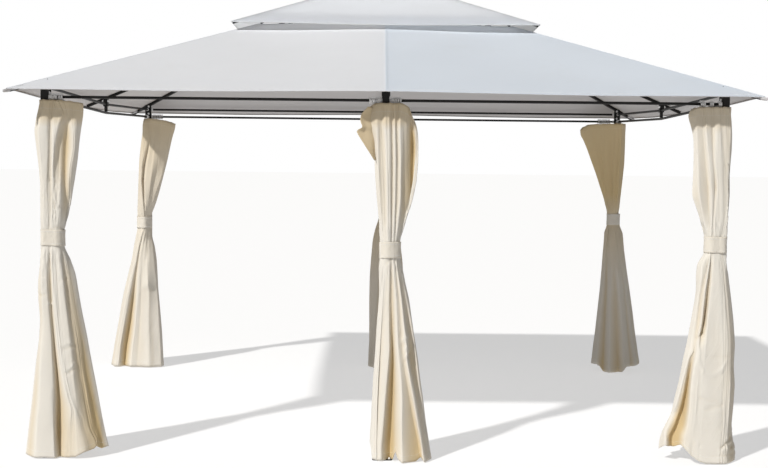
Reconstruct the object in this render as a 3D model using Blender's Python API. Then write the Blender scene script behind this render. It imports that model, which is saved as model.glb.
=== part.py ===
"""Garden gazebo: a two-tier fabric roof on a tube frame, with six posts and six tied curtains.

The origin is on the ground in the middle of the gazebo. The long front faces -Y.
"""
import math

import bmesh
import bpy
from mathutils import Vector

# Plan sizes, metres, from the middle of the gazebo
EAVE_X, EAVE_Y = 2.0, 1.5
POST_X, POST_Y = 1.84, 1.35
VENT_X, VENT_Y = 0.795, 0.383
TOP_X, TOP_Y = 0.945, 0.543
RIDGE_X = 0.40

# Heights, metres, of the fabric's upper face
EAVE_CORNER_Z = 1.998
EAVE_FRONT_Z = 2.006
EAVE_SIDE_Z = 1.974
VENT_Z = 2.484
TOP_EAVE_Z = 2.478
RIDGE_Z = 2.72

# Rails
LOWER_RAIL_Z = 1.962
UPPER_RAIL_Z = 2.0175
SIDE_RAIL_SAG = 0.028

# Sections, metres
POST_WIDTH = 0.038
POST_CORNER = 0.004
HEAD_WIDTH = 0.046
HEAD_Z = 1.985
FOOT_WIDTH = 0.110
FOOT_CORNER = 0.010
FOOT_THICKNESS = 0.005
RAIL_DIAMETER = 0.016
RAIL_SIDES = 12
RIB_WIDTH = 0.018
HIP_TIP_INSET = 0.022
MID_TIP_INSET = 0.034
RING_WIDTH = 0.020
RING_CORNER_FACE = 0.026
RING_COVER = 0.004
ARM_WIDTH = 0.014
ARM_TIP_INSET = 0.020
ARM_END_SHARE = 0.985
BRACE_WIDTH = 0.012
BRACE_FOOT_INSET = 0.018
UPRIGHT_INSET_X = 0.024
UPRIGHT_INSET_Y = 0.012
HUB_DIAMETER = 0.026
HUB_HEIGHT = 0.030
STRUT_WIDTH = 0.018
BRACKET_LENGTH = 0.038
BRACKET_WIDTH = 0.028
BRACKET_BELOW_RAIL = 0.013

# Fabric
FABRIC = 0.003
PANEL_SAG = 0.012
EAVE_SAG = 0.006
TOP_EAVE_SAG = 0.012
PANEL_COLUMNS = 8
PANEL_ROWS = 6
TOP_COLUMNS = 8
TOP_ROWS = 4

# Every piece that rests on another keeps this clearance
GAP = 0.0003
# How far a fold of the fabric falls off beside a rib's middle line
HIP_DROP = 0.0033
TOP_HIP_DROP = 0.0027
RIDGE_DROP = 0.0034
FOLD_DROP = 0.0004

# Curtains
CURTAIN_TOP_Z = 1.9485
CURTAIN_HEM_Z = 0.030
CURTAIN_POINTS = 40
CURTAIN_FLUTES = 10
TIE_HEIGHT = 0.092
TIE_THICKNESS = 0.004
CURTAIN_STEPS_ABOVE = 6
CURTAIN_STEPS_BELOW = 7
FLARE_POWER = 0.8
FLUTE_TOP = 0.006
FLUTE_HEM = 0.018

FRAME_BLACK = ((0.022, 0.017, 0.014, 1.0), 0.42, 0.6)
ROOF_GREY = ((0.73, 0.75, 0.76, 1.0), 0.85, 0.0)
CURTAIN_CREAM = ((0.80, 0.72, 0.56, 1.0), 0.80, 0.0)
TIE_CREAM = ((0.78, 0.69, 0.53, 1.0), 0.80, 0.0)


def clear_scene():
    for old in list(bpy.data.objects):
        bpy.data.objects.remove(old, do_unlink=True)


def material(name, finish):
    colour, roughness, metallic = finish
    made = bpy.data.materials.new(name)
    made.use_nodes = True
    shader = made.node_tree.nodes["Principled BSDF"]
    shader.inputs["Base Color"].default_value = colour
    shader.inputs["Roughness"].default_value = roughness
    shader.inputs["Metallic"].default_value = metallic
    return made


def add_object(name, bm, finish, smooth_angle=None):
    bmesh.ops.recalc_face_normals(bm, faces=bm.faces)
    mesh = bpy.data.meshes.new(name)
    bm.to_mesh(mesh)
    bm.free()
    if smooth_angle is not None:
        mesh.shade_smooth()
        mesh.set_sharp_from_angle(angle=math.radians(smooth_angle))
    made = bpy.data.objects.new(name, mesh)
    made.data.materials.append(material(name + "_finish", finish))
    bpy.context.scene.collection.objects.link(made)
    return made


def loft(bm, rings, closed=False):
    """Join rings of points with side faces; an open loft gets a cap at each end."""
    rows = [[bm.verts.new(point) for point in ring] for ring in rings]
    pairs = list(zip(rows, rows[1:]))
    if closed:
        pairs.append((rows[-1], rows[0]))
    for lower, upper in pairs:
        for i in range(len(lower)):
            j = (i + 1) % len(lower)
            bm.faces.new((lower[i], lower[j], upper[j], upper[i]))
    if not closed:
        bm.faces.new(list(reversed(rows[0])))
        bm.faces.new(rows[-1])


def square_section(width):
    half = width / 2
    return [(-half, -half), (half, -half), (half, half), (-half, half)]


def round_section(diameter, sides):
    turn = 2 * math.pi / sides
    return [(diameter / 2 * math.cos((i + 0.5) * turn), diameter / 2 * math.sin((i + 0.5) * turn))
            for i in range(sides)]


def sweep(bm, points, section, first_cut=None, last_cut=None):
    """Carry a section along straight runs, mitred where they meet; cuts are end plane normals."""
    runs = [(b - a).normalized() for a, b in zip(points, points[1:])]
    cuts = [first_cut or runs[0]]
    cuts += [(a + b).normalized() for a, b in zip(runs, runs[1:])]
    cuts.append(last_cut or runs[-1])
    rings = []
    for k, (centre, cut) in enumerate(zip(points, cuts)):
        along = runs[min(k, len(runs) - 1)]
        if abs(along.z) < 0.999:
            side = along.cross(Vector((0, 0, 1))).normalized()
        else:
            side = Vector((1, 0, 0))
        up = side.cross(along)
        ring = []
        for u, v in section:
            start = centre + side * u + up * v
            ring.append(start + along * ((centre - start).dot(cut) / along.dot(cut)))
        rings.append(ring)
    loft(bm, rings)


def bar(name, points, section, finish=FRAME_BLACK, smooth_angle=None, **cuts):
    bm = bmesh.new()
    sweep(bm, [Vector(point) for point in points], section, **cuts)
    return add_object(name, bm, finish, smooth_angle)


def rounded_square(centre_x, centre_y, width, corner, height_at):
    """Twelve points round a square with eased corners; height_at gives z at each one."""
    ring = []
    inner = width / 2 - corner
    for quarter in range(4):
        corner_angle = math.pi / 4 + quarter * math.pi / 2
        cx = centre_x + inner * math.copysign(1, math.cos(corner_angle))
        cy = centre_y + inner * math.copysign(1, math.sin(corner_angle))
        for step in (-1, 0, 1):
            angle = corner_angle + step * math.pi / 4
            x, y = cx + corner * math.cos(angle), cy + corner * math.sin(angle)
            ring.append(Vector((x, y, height_at(x, y))))
    return ring


def union(base, parts):
    """Weld the parts to the base piece."""
    for part in parts:
        weld = base.modifiers.new("weld", "BOOLEAN")
        weld.operation = "UNION"
        weld.solver = "EXACT"
        weld.object = part
        part.hide_render = True
        part.display_type = "WIRE"


# Main canopy: straight lines down its folds, from the vent to the eave
def fold_lines():
    """Eave point and vent point of the eight folds, anticlockwise from the front left corner."""
    return [
        ((-EAVE_X, -EAVE_Y, EAVE_CORNER_Z), (-VENT_X, -VENT_Y, VENT_Z)),
        ((0, -EAVE_Y, EAVE_FRONT_Z), (0, -VENT_Y, VENT_Z)),
        ((EAVE_X, -EAVE_Y, EAVE_CORNER_Z), (VENT_X, -VENT_Y, VENT_Z)),
        ((EAVE_X, 0, EAVE_SIDE_Z), (VENT_X, 0, VENT_Z)),
        ((EAVE_X, EAVE_Y, EAVE_CORNER_Z), (VENT_X, VENT_Y, VENT_Z)),
        ((0, EAVE_Y, EAVE_FRONT_Z), (0, VENT_Y, VENT_Z)),
        ((-EAVE_X, EAVE_Y, EAVE_CORNER_Z), (-VENT_X, VENT_Y, VENT_Z)),
        ((-EAVE_X, 0, EAVE_SIDE_Z), (-VENT_X, 0, VENT_Z)),
    ]


def main_canopy_rows():
    """Rows of points round the roof, from the eave up to the vent."""
    folds = [(Vector(eave), Vector(vent)) for eave, vent in fold_lines()]
    rows = []
    for i in range(PANEL_ROWS + 1):
        rise = i / PANEL_ROWS
        row = []
        for k, (eave, vent) in enumerate(folds):
            next_eave, next_vent = folds[(k + 1) % len(folds)]
            for j in range(PANEL_COLUMNS):
                across = j / PANEL_COLUMNS
                point = eave.lerp(next_eave, across).lerp(vent.lerp(next_vent, across), rise)
                hollow = math.sin(math.pi * across) ** 2
                point.z -= hollow * (PANEL_SAG * math.sin(math.pi * rise) + EAVE_SAG * (1 - rise) ** 2)
                row.append(point)
        rows.append(row)
    return rows


def below(rows, thickness):
    return [[point - Vector((0, 0, thickness)) for point in row] for row in rows]


def build_main_canopy():
    upper = main_canopy_rows()
    lower = below(upper, FABRIC)
    bm = bmesh.new()
    loft(bm, upper + lower[::-1], closed=True)
    add_object("main_canopy", bm, ROOF_GREY)


def top_canopy_rows():
    """Rows of points from the top tier's eave to its ridge."""
    eave = [Vector((x, y, TOP_EAVE_Z)) for x, y in
            ((-TOP_X, -TOP_Y), (TOP_X, -TOP_Y), (TOP_X, TOP_Y), (-TOP_X, TOP_Y))]
    ridge = [Vector((x, 0, RIDGE_Z)) for x in (-RIDGE_X, RIDGE_X, RIDGE_X, -RIDGE_X)]
    rows = []
    for i in range(TOP_ROWS + 1):
        rise = i / TOP_ROWS
        row = []
        for k in range(4):
            for j in range(TOP_COLUMNS):
                across = j / TOP_COLUMNS
                low = eave[k].lerp(eave[(k + 1) % 4], across)
                high = ridge[k].lerp(ridge[(k + 1) % 4], across)
                point = low.lerp(high, rise)
                point.z -= TOP_EAVE_SAG * math.sin(math.pi * across) ** 2 * (1 - rise) ** 2
                row.append(point)
        rows.append(row)
    return rows


def build_top_canopy():
    upper = top_canopy_rows()
    lower = below(upper, FABRIC)
    bm = bmesh.new()
    loft(bm, upper, closed=False)
    loft(bm, lower, closed=False)
    bmesh.ops.delete(bm, geom=[face for face in bm.faces if len(face.verts) > 4], context="FACES_ONLY")
    bmesh.ops.remove_doubles(bm, verts=bm.verts, dist=1e-5)
    rims = [edge for edge in bm.edges if edge.is_boundary]
    bmesh.ops.bridge_loops(bm, edges=rims)
    add_object("top_canopy", bm, ROOF_GREY)


# Frame
def rib_top(eave, vent, share, drop):
    """Point on a rib's top face, share of the way from the eave to the vent."""
    point = Vector(eave).lerp(Vector(vent), share)
    return point - Vector((0, 0, FABRIC + drop + GAP))


def rib_line(eave, vent, start, end, drop, width=RIB_WIDTH):
    """Middle line of a rib whose top face follows the fabric between two shares of a fold."""
    first, last = rib_top(eave, vent, start, drop), rib_top(eave, vent, end, drop)
    along = (last - first).normalized()
    half_depth = Vector((0, 0, width / 2 / math.hypot(along.x, along.y)))
    return first - half_depth, last - half_depth


def plan_direction(eave, vent):
    flat = Vector((eave[0] - vent[0], eave[1] - vent[1], 0))
    return flat.normalized()


def share_at(eave, vent, distance):
    """Share of a fold at a plan distance in from the eave."""
    run = Vector((eave[0] - vent[0], eave[1] - vent[1], 0)).length
    return distance / run


RING_OUT_X = VENT_X + RING_COVER
RING_OUT_Y = VENT_Y + RING_COVER
STEEPEST = max((VENT_Z - EAVE_CORNER_Z) / (EAVE_Y - VENT_Y), (VENT_Z - EAVE_SIDE_Z) / (EAVE_X - VENT_X))
RING_TOP = VENT_Z - FABRIC - RING_COVER * STEEPEST - GAP


def ring_outline(inset):
    """Eight-cornered outline of the crown ring; each cut corner is square to the hip rib."""
    hip = plan_direction((EAVE_X, EAVE_Y), (VENT_X, VENT_Y))
    cut_x, cut_y = RING_CORNER_FACE * hip.y, RING_CORNER_FACE * hip.x
    corner_reach = (RING_OUT_X - cut_x) * hip.x + RING_OUT_Y * hip.y - inset
    x, y = RING_OUT_X - inset, RING_OUT_Y - inset
    on_long = Vector(((corner_reach - y * hip.y) / hip.x, y))
    on_short = Vector((x, (corner_reach - x * hip.x) / hip.y))
    quarter = [on_short, on_long]
    outline = []
    for sx, sy, order in ((1, 1, 1), (-1, 1, -1), (-1, -1, 1), (1, -1, -1)):
        outline += [Vector((p.x * sx, p.y * sy)) for p in quarter[::order]]
    return outline, corner_reach


def build_crown_ring():
    outer, _ = ring_outline(0)
    inner, _ = ring_outline(RING_WIDTH)
    bottom = RING_TOP - RING_WIDTH

    def at(outline, z):
        return [Vector((p.x, p.y, z)) for p in outline]

    bm = bmesh.new()
    loft(bm, [at(outer, bottom), at(outer, RING_TOP), at(inner, RING_TOP), at(inner, bottom)], closed=True)
    add_object("crown_ring", bm, FRAME_BLACK)


def build_ribs():
    names = ("hip_rib_front_left", "mid_rib_front", "hip_rib_front_right", "mid_rib_right",
             "hip_rib_back_right", "mid_rib_back", "hip_rib_back_left", "mid_rib_left")
    _, corner_reach = ring_outline(0)
    for name, (eave, vent) in zip(names, fold_lines()):
        outward = plan_direction(eave, vent)
        hip = abs(outward.x * outward.y) > 0.01
        if hip:
            stop = corner_reach
            tip, drop = HIP_TIP_INSET, HIP_DROP
        else:
            stop = RING_OUT_Y if eave[0] == 0 else RING_OUT_X
            tip, drop = MID_TIP_INSET, FOLD_DROP
        eave_reach = Vector((eave[0], eave[1], 0)).dot(outward)
        start = share_at(eave, vent, tip)
        end = share_at(eave, vent, eave_reach - stop - GAP)
        ends = rib_line(eave, vent, start, end, drop)
        bar(name, ends, square_section(RIB_WIDTH), first_cut=outward, last_cut=outward)


def rib_underside(eave, vent, drop):
    """Height of a rib's lower face as a function of plan position."""
    outward = plan_direction(eave, vent)
    slope = (vent[2] - eave[2]) / Vector((eave[0] - vent[0], eave[1] - vent[1], 0)).length
    depth = RIB_WIDTH * math.sqrt(1 + slope ** 2)
    reach = Vector((eave[0], eave[1], 0)).dot(outward)

    def height(x, y):
        inward = reach - Vector((x, y, 0)).dot(outward)
        return eave[2] + slope * inward - FABRIC - drop - GAP - depth - GAP

    return height


def post_places():
    """Name, plan position and the fold whose rib each post carries."""
    folds = fold_lines()
    return (
        ("front_left", -POST_X, -POST_Y, folds[0]),
        ("front_middle", 0.0, -POST_Y, folds[1]),
        ("front_right", POST_X, -POST_Y, folds[2]),
        ("back_right", POST_X, POST_Y, folds[4]),
        ("back_middle", 0.0, POST_Y, folds[5]),
        ("back_left", -POST_X, POST_Y, folds[6]),
    )


def build_posts():
    for name, x, y, (eave, vent) in post_places():
        middle = x == 0
        top = rib_underside(eave, vent, FOLD_DROP if middle else HIP_DROP)
        bm = bmesh.new()
        stack = [
            rounded_square(x, y, FOOT_WIDTH, FOOT_CORNER, lambda px, py: 0.0),
            rounded_square(x, y, FOOT_WIDTH, FOOT_CORNER, lambda px, py: FOOT_THICKNESS),
            rounded_square(x, y, POST_WIDTH, POST_CORNER, lambda px, py: FOOT_THICKNESS),
        ]
        if middle:
            stack.append(rounded_square(x, y, POST_WIDTH, POST_CORNER, lambda px, py: HEAD_Z))
            stack.append(rounded_square(x, y, HEAD_WIDTH, POST_CORNER, lambda px, py: HEAD_Z))
            stack.append(rounded_square(x, y, HEAD_WIDTH, POST_CORNER, top))
        else:
            stack.append(rounded_square(x, y, POST_WIDTH, POST_CORNER, top))
        loft(bm, stack)
        add_object("post_" + name, bm, FRAME_BLACK, smooth_angle=30)


def build_long_rails():
    tube = round_section(RAIL_DIAMETER, RAIL_SIDES)
    corner_face = POST_WIDTH / 2 + GAP
    for end, y in (("front", -POST_Y), ("back", POST_Y)):
        for level, z, post_face in (("lower", LOWER_RAIL_Z, POST_WIDTH), ("upper", UPPER_RAIL_Z, HEAD_WIDTH)):
            near_middle = post_face / 2 + GAP
            for side, sign in (("left", -1), ("right", 1)):
                points = [(sign * near_middle, y, z), (sign * (POST_X - corner_face), y, z)]
                bar(f"{end}_rail_{level}_{side}", points, tube, smooth_angle=40)


def build_side_rails():
    """Each side rail is one bent tube that dips to the strut at mid side."""
    tube = round_section(RAIL_DIAMETER, RAIL_SIDES)
    reach = POST_Y - POST_WIDTH / 2 - GAP
    across = Vector((0, 1, 0))
    for side, x in (("left", -POST_X), ("right", POST_X)):
        for level, z in (("lower", LOWER_RAIL_Z), ("upper", UPPER_RAIL_Z)):
            points = [(x, -reach, z), (x, 0, z - SIDE_RAIL_SAG), (x, reach, z)]
            bar(f"side_rail_{level}_{side}", points, tube, smooth_angle=40,
                first_cut=across, last_cut=across)


def build_mid_struts():
    """Strut between the side rails, with a bracket that the upper rail passes through."""
    folds = fold_lines()
    for side, x, (eave, vent) in (("left", -POST_X, folds[7]), ("right", POST_X, folds[3])):
        top = rib_underside(eave, vent, FOLD_DROP)
        lower_rail_top = LOWER_RAIL_Z - SIDE_RAIL_SAG + RAIL_DIAMETER / 2
        upper_z = UPPER_RAIL_Z - SIDE_RAIL_SAG
        bracket_bottom = upper_z - BRACKET_BELOW_RAIL
        foot = lower_rail_top + GAP

        def block(half_x, half_y, height_at):
            return [Vector((x + sx * half_x, sy * half_y, height_at(x + sx * half_x, sy * half_y)))
                    for sx, sy in ((-1, -1), (1, -1), (1, 1), (-1, 1))]

        shank, bracket_x, bracket_y = STRUT_WIDTH / 2, BRACKET_WIDTH / 2, BRACKET_LENGTH / 2
        bm = bmesh.new()
        loft(bm, [
            block(shank, shank, lambda px, py: foot),
            block(shank, shank, lambda px, py: bracket_bottom),
            block(bracket_x, bracket_y, lambda px, py: bracket_bottom),
            block(bracket_x, bracket_y, top),
        ])
        strut = add_object("mid_strut_" + side, bm, FRAME_BLACK)
        sleeve = round_section(RAIL_DIAMETER + 2 * GAP, RAIL_SIDES)
        fall = SIDE_RAIL_SAG / (POST_Y - POST_WIDTH / 2 - GAP)
        reach = BRACKET_LENGTH
        end_z = upper_z + reach * fall
        cutter = bar("rail_hole_" + side, [(x, -reach, end_z), (x, 0, upper_z), (x, reach, end_z)], sleeve)
        cutter.hide_render = True
        cutter.display_type = "WIRE"
        hole = strut.modifiers.new("rail hole", "BOOLEAN")
        hole.operation = "DIFFERENCE"
        hole.solver = "EXACT"
        hole.object = cutter


def build_top_frame():
    """Ridge, four hip arms on uprights, and six braces that meet below the ridge ends."""
    arm = square_section(ARM_WIDTH)
    brace = square_section(BRACE_WIDTH)
    vertical = Vector((0, 0, 1))
    ridge_top = RIDGE_Z - FABRIC - RIDGE_DROP - GAP
    fall = (RIDGE_Z - TOP_EAVE_Z) / TOP_Y * HUB_DIAMETER / 2
    hub_top = RIDGE_Z - FABRIC - fall - 2 * GAP
    hub_bottom = hub_top - HUB_HEIGHT
    ridge_z = ridge_top - ARM_WIDTH / 2
    welds = []
    frame = bar("top_frame", [(-RIDGE_X, 0, ridge_z), (RIDGE_X, 0, ridge_z)], arm)
    foot_z = RING_TOP + GAP
    for sx in (-1, 1):
        hub_x = sx * RIDGE_X
        welds.append(bar(f"hub_{sx}", [(hub_x, 0, hub_bottom), (hub_x, 0, hub_top)],
                         round_section(HUB_DIAMETER, RAIL_SIDES)))
        foot_x = sx * (RING_OUT_X - BRACE_FOOT_INSET)
        brace_end = (hub_x, 0, hub_bottom + BRACE_WIDTH)
        welds.append(bar(f"side_brace_{sx}", [(foot_x, 0, foot_z), brace_end], brace, first_cut=vertical))
        for sy in (-1, 1):
            eave = (sx * TOP_X, sy * TOP_Y, TOP_EAVE_Z)
            ridge = (sx * RIDGE_X, 0, RIDGE_Z)
            outward = plan_direction(eave, ridge)
            ends = rib_line(eave, ridge, share_at(eave, ridge, ARM_TIP_INSET), ARM_END_SHARE,
                            TOP_HIP_DROP, ARM_WIDTH)
            welds.append(bar(f"arm_{sx}_{sy}", ends, arm, first_cut=outward))
            upright_x, upright_y = RING_OUT_X - UPRIGHT_INSET_X, RING_OUT_Y - UPRIGHT_INSET_Y
            foot = Vector((sx * upright_x, sy * upright_y, foot_z))
            low, high = ends
            share = (foot.x - low.x) / (high.x - low.x)
            arm_z = low.lerp(high, share).z
            welds.append(bar(f"upright_{sx}_{sy}", [foot, (foot.x, foot.y, arm_z)], brace))
            brace_foot = foot + Vector((0, 0, BRACE_WIDTH))
            welds.append(bar(f"brace_{sx}_{sy}", [brace_foot, brace_end], brace))
    union(frame, welds)


# Curtains: each hangs round its post, gathered by a tie, and spreads along the rails at the top
def hull_outline(discs, count):
    """Evenly spaced points round the hull of some discs, each given as (x, y, radius)."""
    dense = []
    for degree in range(360):
        out = (math.cos(math.radians(degree)), math.sin(math.radians(degree)))
        x, y, r = max(discs, key=lambda disc: disc[0] * out[0] + disc[1] * out[1] + disc[2])
        dense.append(Vector((x + r * out[0], y + r * out[1])))
    lengths = [(dense[(i + 1) % 360] - dense[i]).length for i in range(360)]
    step = sum(lengths) / count
    outline, walked, k = [], 0.0, 0
    for i in range(count):
        while walked + lengths[k] < i * step:
            walked += lengths[k]
            k += 1
        share = (i * step - walked) / lengths[k]
        outline.append(dense[k].lerp(dense[(k + 1) % 360], share))
    return outline


def pushed_out(outline, amount_at):
    """Move each point along its outward normal."""
    moved = []
    count = len(outline)
    for i, point in enumerate(outline):
        along = outline[(i + 1) % count] - outline[i - 1]
        outward = Vector((along.y, -along.x)).normalized()
        moved.append(point + outward * amount_at(i / count))
    return moved


# Discs in metres from the post: x is along the long rail and y along the short one, inwards.
# The first disc holds the post, the others the cloth gathered on each rail.
CURTAIN_SHAPES = {
    "front_left": {
        "top": ((-0.012, 0.000, 0.040), (0.180, 0.000, 0.032), (0.000, 0.150, 0.030)),
        "waist": ((0.002, 0.002, 0.0305), (0.066, 0.010, 0.041), (0.030, 0.030, 0.040)),
        "hem": ((-0.030, 0.010, 0.092), (0.222, 0.020, 0.108), (0.090, 0.150, 0.110)),
        "waist_z": 1.201,
    },
    "front_middle": {
        "top": ((0.000, 0.000, 0.050), (0.152, 0.000, 0.034), (-0.122, 0.000, 0.034)),
        "waist": ((0.000, 0.000, 0.034), (0.044, 0.004, 0.044), (0.020, -0.004, 0.046)),
        "hem": ((0.030, 0.010, 0.100), (0.145, -0.020, 0.112), (0.070, 0.040, 0.115)),
        "waist_z": 1.152,
    },
    "front_right": {
        "top": ((-0.006, 0.000, 0.040), (0.165, 0.000, 0.032), (0.000, 0.150, 0.030)),
        "waist": ((0.002, 0.002, 0.0305), (0.062, 0.008, 0.040), (0.030, 0.030, 0.038)),
        "hem": ((-0.012, 0.010, 0.098), (0.184, 0.020, 0.106), (0.070, 0.150, 0.110)),
        "waist_z": 1.200,
    },
    "back_right": {
        "top": ((-0.030, 0.000, 0.050), (0.250, 0.000, 0.042), (0.000, 0.150, 0.040)),
        "waist": ((-0.010, 0.002, 0.038), (0.036, 0.008, 0.038), (0.010, 0.022, 0.036)),
        "hem": ((-0.115, 0.010, 0.108), (0.070, 0.020, 0.108), (0.000, 0.130, 0.110)),
        "waist_z": 1.195,
    },
    "back_middle": {
        "top": ((0.000, 0.000, 0.050), (0.120, 0.000, 0.033), (-0.120, 0.000, 0.033)),
        "waist": ((0.000, 0.000, 0.045), (0.012, 0.005, 0.045), (-0.008, -0.004, 0.045)),
        "hem": ((-0.055, 0.010, 0.110), (0.040, -0.020, 0.110), (-0.010, 0.040, 0.115)),
        "waist_z": 1.360,
    },
    "back_left": {
        "top": ((-0.012, 0.000, 0.042), (0.178, 0.000, 0.040), (0.000, 0.150, 0.036)),
        "waist": ((-0.055, 0.004, 0.042), (0.004, 0.004, 0.033), (-0.025, 0.022, 0.040)),
        "hem": ((-0.164, 0.010, 0.108), (0.012, 0.020, 0.108), (-0.080, 0.130, 0.110)),
        "waist_z": 1.136,
    },
}


def mixed(first, second, share):
    return [tuple(a + (b - a) * share for a, b in zip(p, q)) for p, q in zip(first, second)]


def curtain_section(shape, side, share, flute, count=CURTAIN_POINTS):
    """Outline at a share of the way from the waist to the top or the hem."""
    discs = mixed(shape["waist"], shape[side], share ** FLARE_POWER)
    outline = hull_outline(discs, count)
    depth = flute * share
    return pushed_out(outline, lambda s: depth * (math.cos(2 * math.pi * CURTAIN_FLUTES * s) - 1))


def placed(outline, x, y, z):
    """Set an outline in plan beside its post, mirrored so that inwards is to the middle."""
    sx = -1 if x > 0 else 1
    sy = -1 if y > 0 else 1
    return [Vector((x + sx * p.x, y + sy * p.y, z)) for p in outline]


def curtain_levels(shape):
    """Heights and sections from the hem to the top."""
    waist = shape["waist_z"]
    low, high = waist - TIE_HEIGHT / 2, waist + TIE_HEIGHT / 2
    levels = []
    for i in range(CURTAIN_STEPS_BELOW + 1):
        share = 1 - i / CURTAIN_STEPS_BELOW
        levels.append((low + (CURTAIN_HEM_Z - low) * share, "hem", share, FLUTE_HEM))
    for i in range(CURTAIN_STEPS_ABOVE + 1):
        share = i / CURTAIN_STEPS_ABOVE
        levels.append((high + (CURTAIN_TOP_Z - high) * share, "top", share, FLUTE_TOP))
    return levels


def build_curtain(name, x, y, shape):
    """Gathered cloth round the post, which passes through it."""
    bm = bmesh.new()
    rings = [placed(curtain_section(shape, side, share, flute), x, y, z)
             for z, side, share, flute in curtain_levels(shape)]
    loft(bm, rings)
    curtain = add_object("curtain_" + name, bm, CURTAIN_CREAM, smooth_angle=50)
    reach = 0.05
    bm = bmesh.new()
    clear = POST_WIDTH + 2 * GAP
    loft(bm, [rounded_square(x, y, clear, POST_CORNER, lambda px, py: CURTAIN_HEM_Z - reach),
              rounded_square(x, y, clear, POST_CORNER, lambda px, py: CURTAIN_TOP_Z + reach)])
    hole_shape = add_object("post_hole_" + name, bm, CURTAIN_CREAM)
    hole_shape.hide_render = True
    hole_shape.display_type = "WIRE"
    hole = curtain.modifiers.new("post hole", "BOOLEAN")
    hole.operation = "DIFFERENCE"
    hole.solver = "EXACT"
    hole.object = hole_shape


def build_tie(name, x, y, shape):
    """Band round the gathered waist."""
    waist = hull_outline(shape["waist"], CURTAIN_POINTS)
    inner = pushed_out(waist, lambda s: GAP)
    outer = pushed_out(waist, lambda s: GAP + TIE_THICKNESS)
    low = shape["waist_z"] - TIE_HEIGHT / 2 + GAP
    high = shape["waist_z"] + TIE_HEIGHT / 2 - GAP
    bm = bmesh.new()
    loft(bm, [placed(outer, x, y, low), placed(outer, x, y, high),
              placed(inner, x, y, high), placed(inner, x, y, low)], closed=True)
    add_object("tie_" + name, bm, TIE_CREAM, smooth_angle=50)


def main():
    clear_scene()
    build_posts()
    build_long_rails()
    build_side_rails()
    build_mid_struts()
    build_ribs()
    build_crown_ring()
    build_top_frame()
    build_main_canopy()
    build_top_canopy()
    for name, x, y, _ in post_places():
        build_curtain(name, x, y, CURTAIN_SHAPES[name])
        build_tie(name, x, y, CURTAIN_SHAPES[name])


main()
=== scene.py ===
import math
import random
from itertools import accumulate

import bmesh
import bpy
from mathutils import Matrix, Vector, noise


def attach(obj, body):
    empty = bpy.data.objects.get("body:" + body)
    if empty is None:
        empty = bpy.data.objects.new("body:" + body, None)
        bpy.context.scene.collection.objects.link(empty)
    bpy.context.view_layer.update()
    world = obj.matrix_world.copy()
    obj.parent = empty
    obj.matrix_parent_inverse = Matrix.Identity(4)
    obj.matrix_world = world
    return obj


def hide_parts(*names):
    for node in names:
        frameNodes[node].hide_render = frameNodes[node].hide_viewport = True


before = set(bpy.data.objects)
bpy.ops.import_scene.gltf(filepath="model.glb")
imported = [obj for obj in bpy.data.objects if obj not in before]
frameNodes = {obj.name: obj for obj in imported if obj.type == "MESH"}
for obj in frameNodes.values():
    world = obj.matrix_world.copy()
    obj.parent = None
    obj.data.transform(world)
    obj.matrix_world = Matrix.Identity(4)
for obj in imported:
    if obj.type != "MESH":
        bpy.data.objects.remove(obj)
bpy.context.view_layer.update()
print("frame loaded:", len(frameNodes), "nodes")

# Main lengths of the frame, metres; the long front faces -Y
plan = {
    "eave": (2.0, 1.5), "post": (1.84, 1.35), "vent": (0.795, 0.383), "topEave": (0.945, 0.543), "ridge": 0.40,
    "cornerZ": 1.998, "frontZ": 2.006, "sideZ": 1.974, "ventZ": 2.484, "topEaveZ": 2.478, "ridgeZ": 2.72,
    "lowerRailZ": 1.962, "upperRailZ": 2.0175, "railRadius": 0.008, "railSag": 0.028, "postHalf": 0.019,
}


def addObject(name, data):
    made = bpy.data.objects.new(name, data)
    bpy.context.scene.collection.objects.link(made)
    return made


# Small helpers for node trees; a value is a number, a colour, or an output of another node
def feed(node, inputs):
    for key, value in inputs.items():
        socket = node.inputs[key]
        if hasattr(value, "is_output"):
            node.id_data.links.new(value, socket)
        else:
            socket.default_value = (*value, 1) if socket.type == "RGBA" else value


def addNode(tree, kind, inputs=None, **settings):
    made = tree.nodes.new(kind)
    for key, value in settings.items():
        setattr(made, key, value)
    feed(made, inputs or {})
    return made.outputs


def doMath(operation, *values):
    tree = next(value for value in values if hasattr(value, "is_output")).id_data
    return addNode(tree, "ShaderNodeMath", dict(enumerate(values)), operation=operation)[0]


def times(first, second):
    return doMath("MULTIPLY", first, second)


def plus(first, second):
    return doMath("ADD", first, second)


def newTree(name, kind, inputs, outputs):
    tree = bpy.data.node_groups.new(name, kind)
    for label, sort, value in inputs:
        socket = tree.interface.new_socket(label, in_out="INPUT", socket_type="NodeSocket" + sort)
        if value is not None:
            socket.default_value = value
    for label, sort in outputs:
        tree.interface.new_socket(label, in_out="OUTPUT", socket_type="NodeSocket" + sort)
    return tree, tree.nodes.new("NodeGroupInput").outputs, tree.nodes.new("NodeGroupOutput")


# Camera and lights: angles in degrees, a light's side counted from the front towards the right
camera = {
    "place": (-0.0484, -7.3487, 1.6362), "yaw": 0.434, "pitch": -3.79, "roll": 0.608,
    "lens": 51.72, "sensor": 36, "farthest": 400,
}
lights = {
    "key": {"power": 4.25, "height": 42, "side": -44, "softness": 2.2, "tint": (1.0, 0.985, 0.96)},
    "fill": {"power": 0.14, "height": 30, "side": 30, "softness": 50, "tint": (0.96, 0.98, 1.0)},
    "skyLight": 0.10, "skyTint": (1.0, 0.98, 0.95), "skySeen": 1.0, "transform": "Standard",
}


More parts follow.
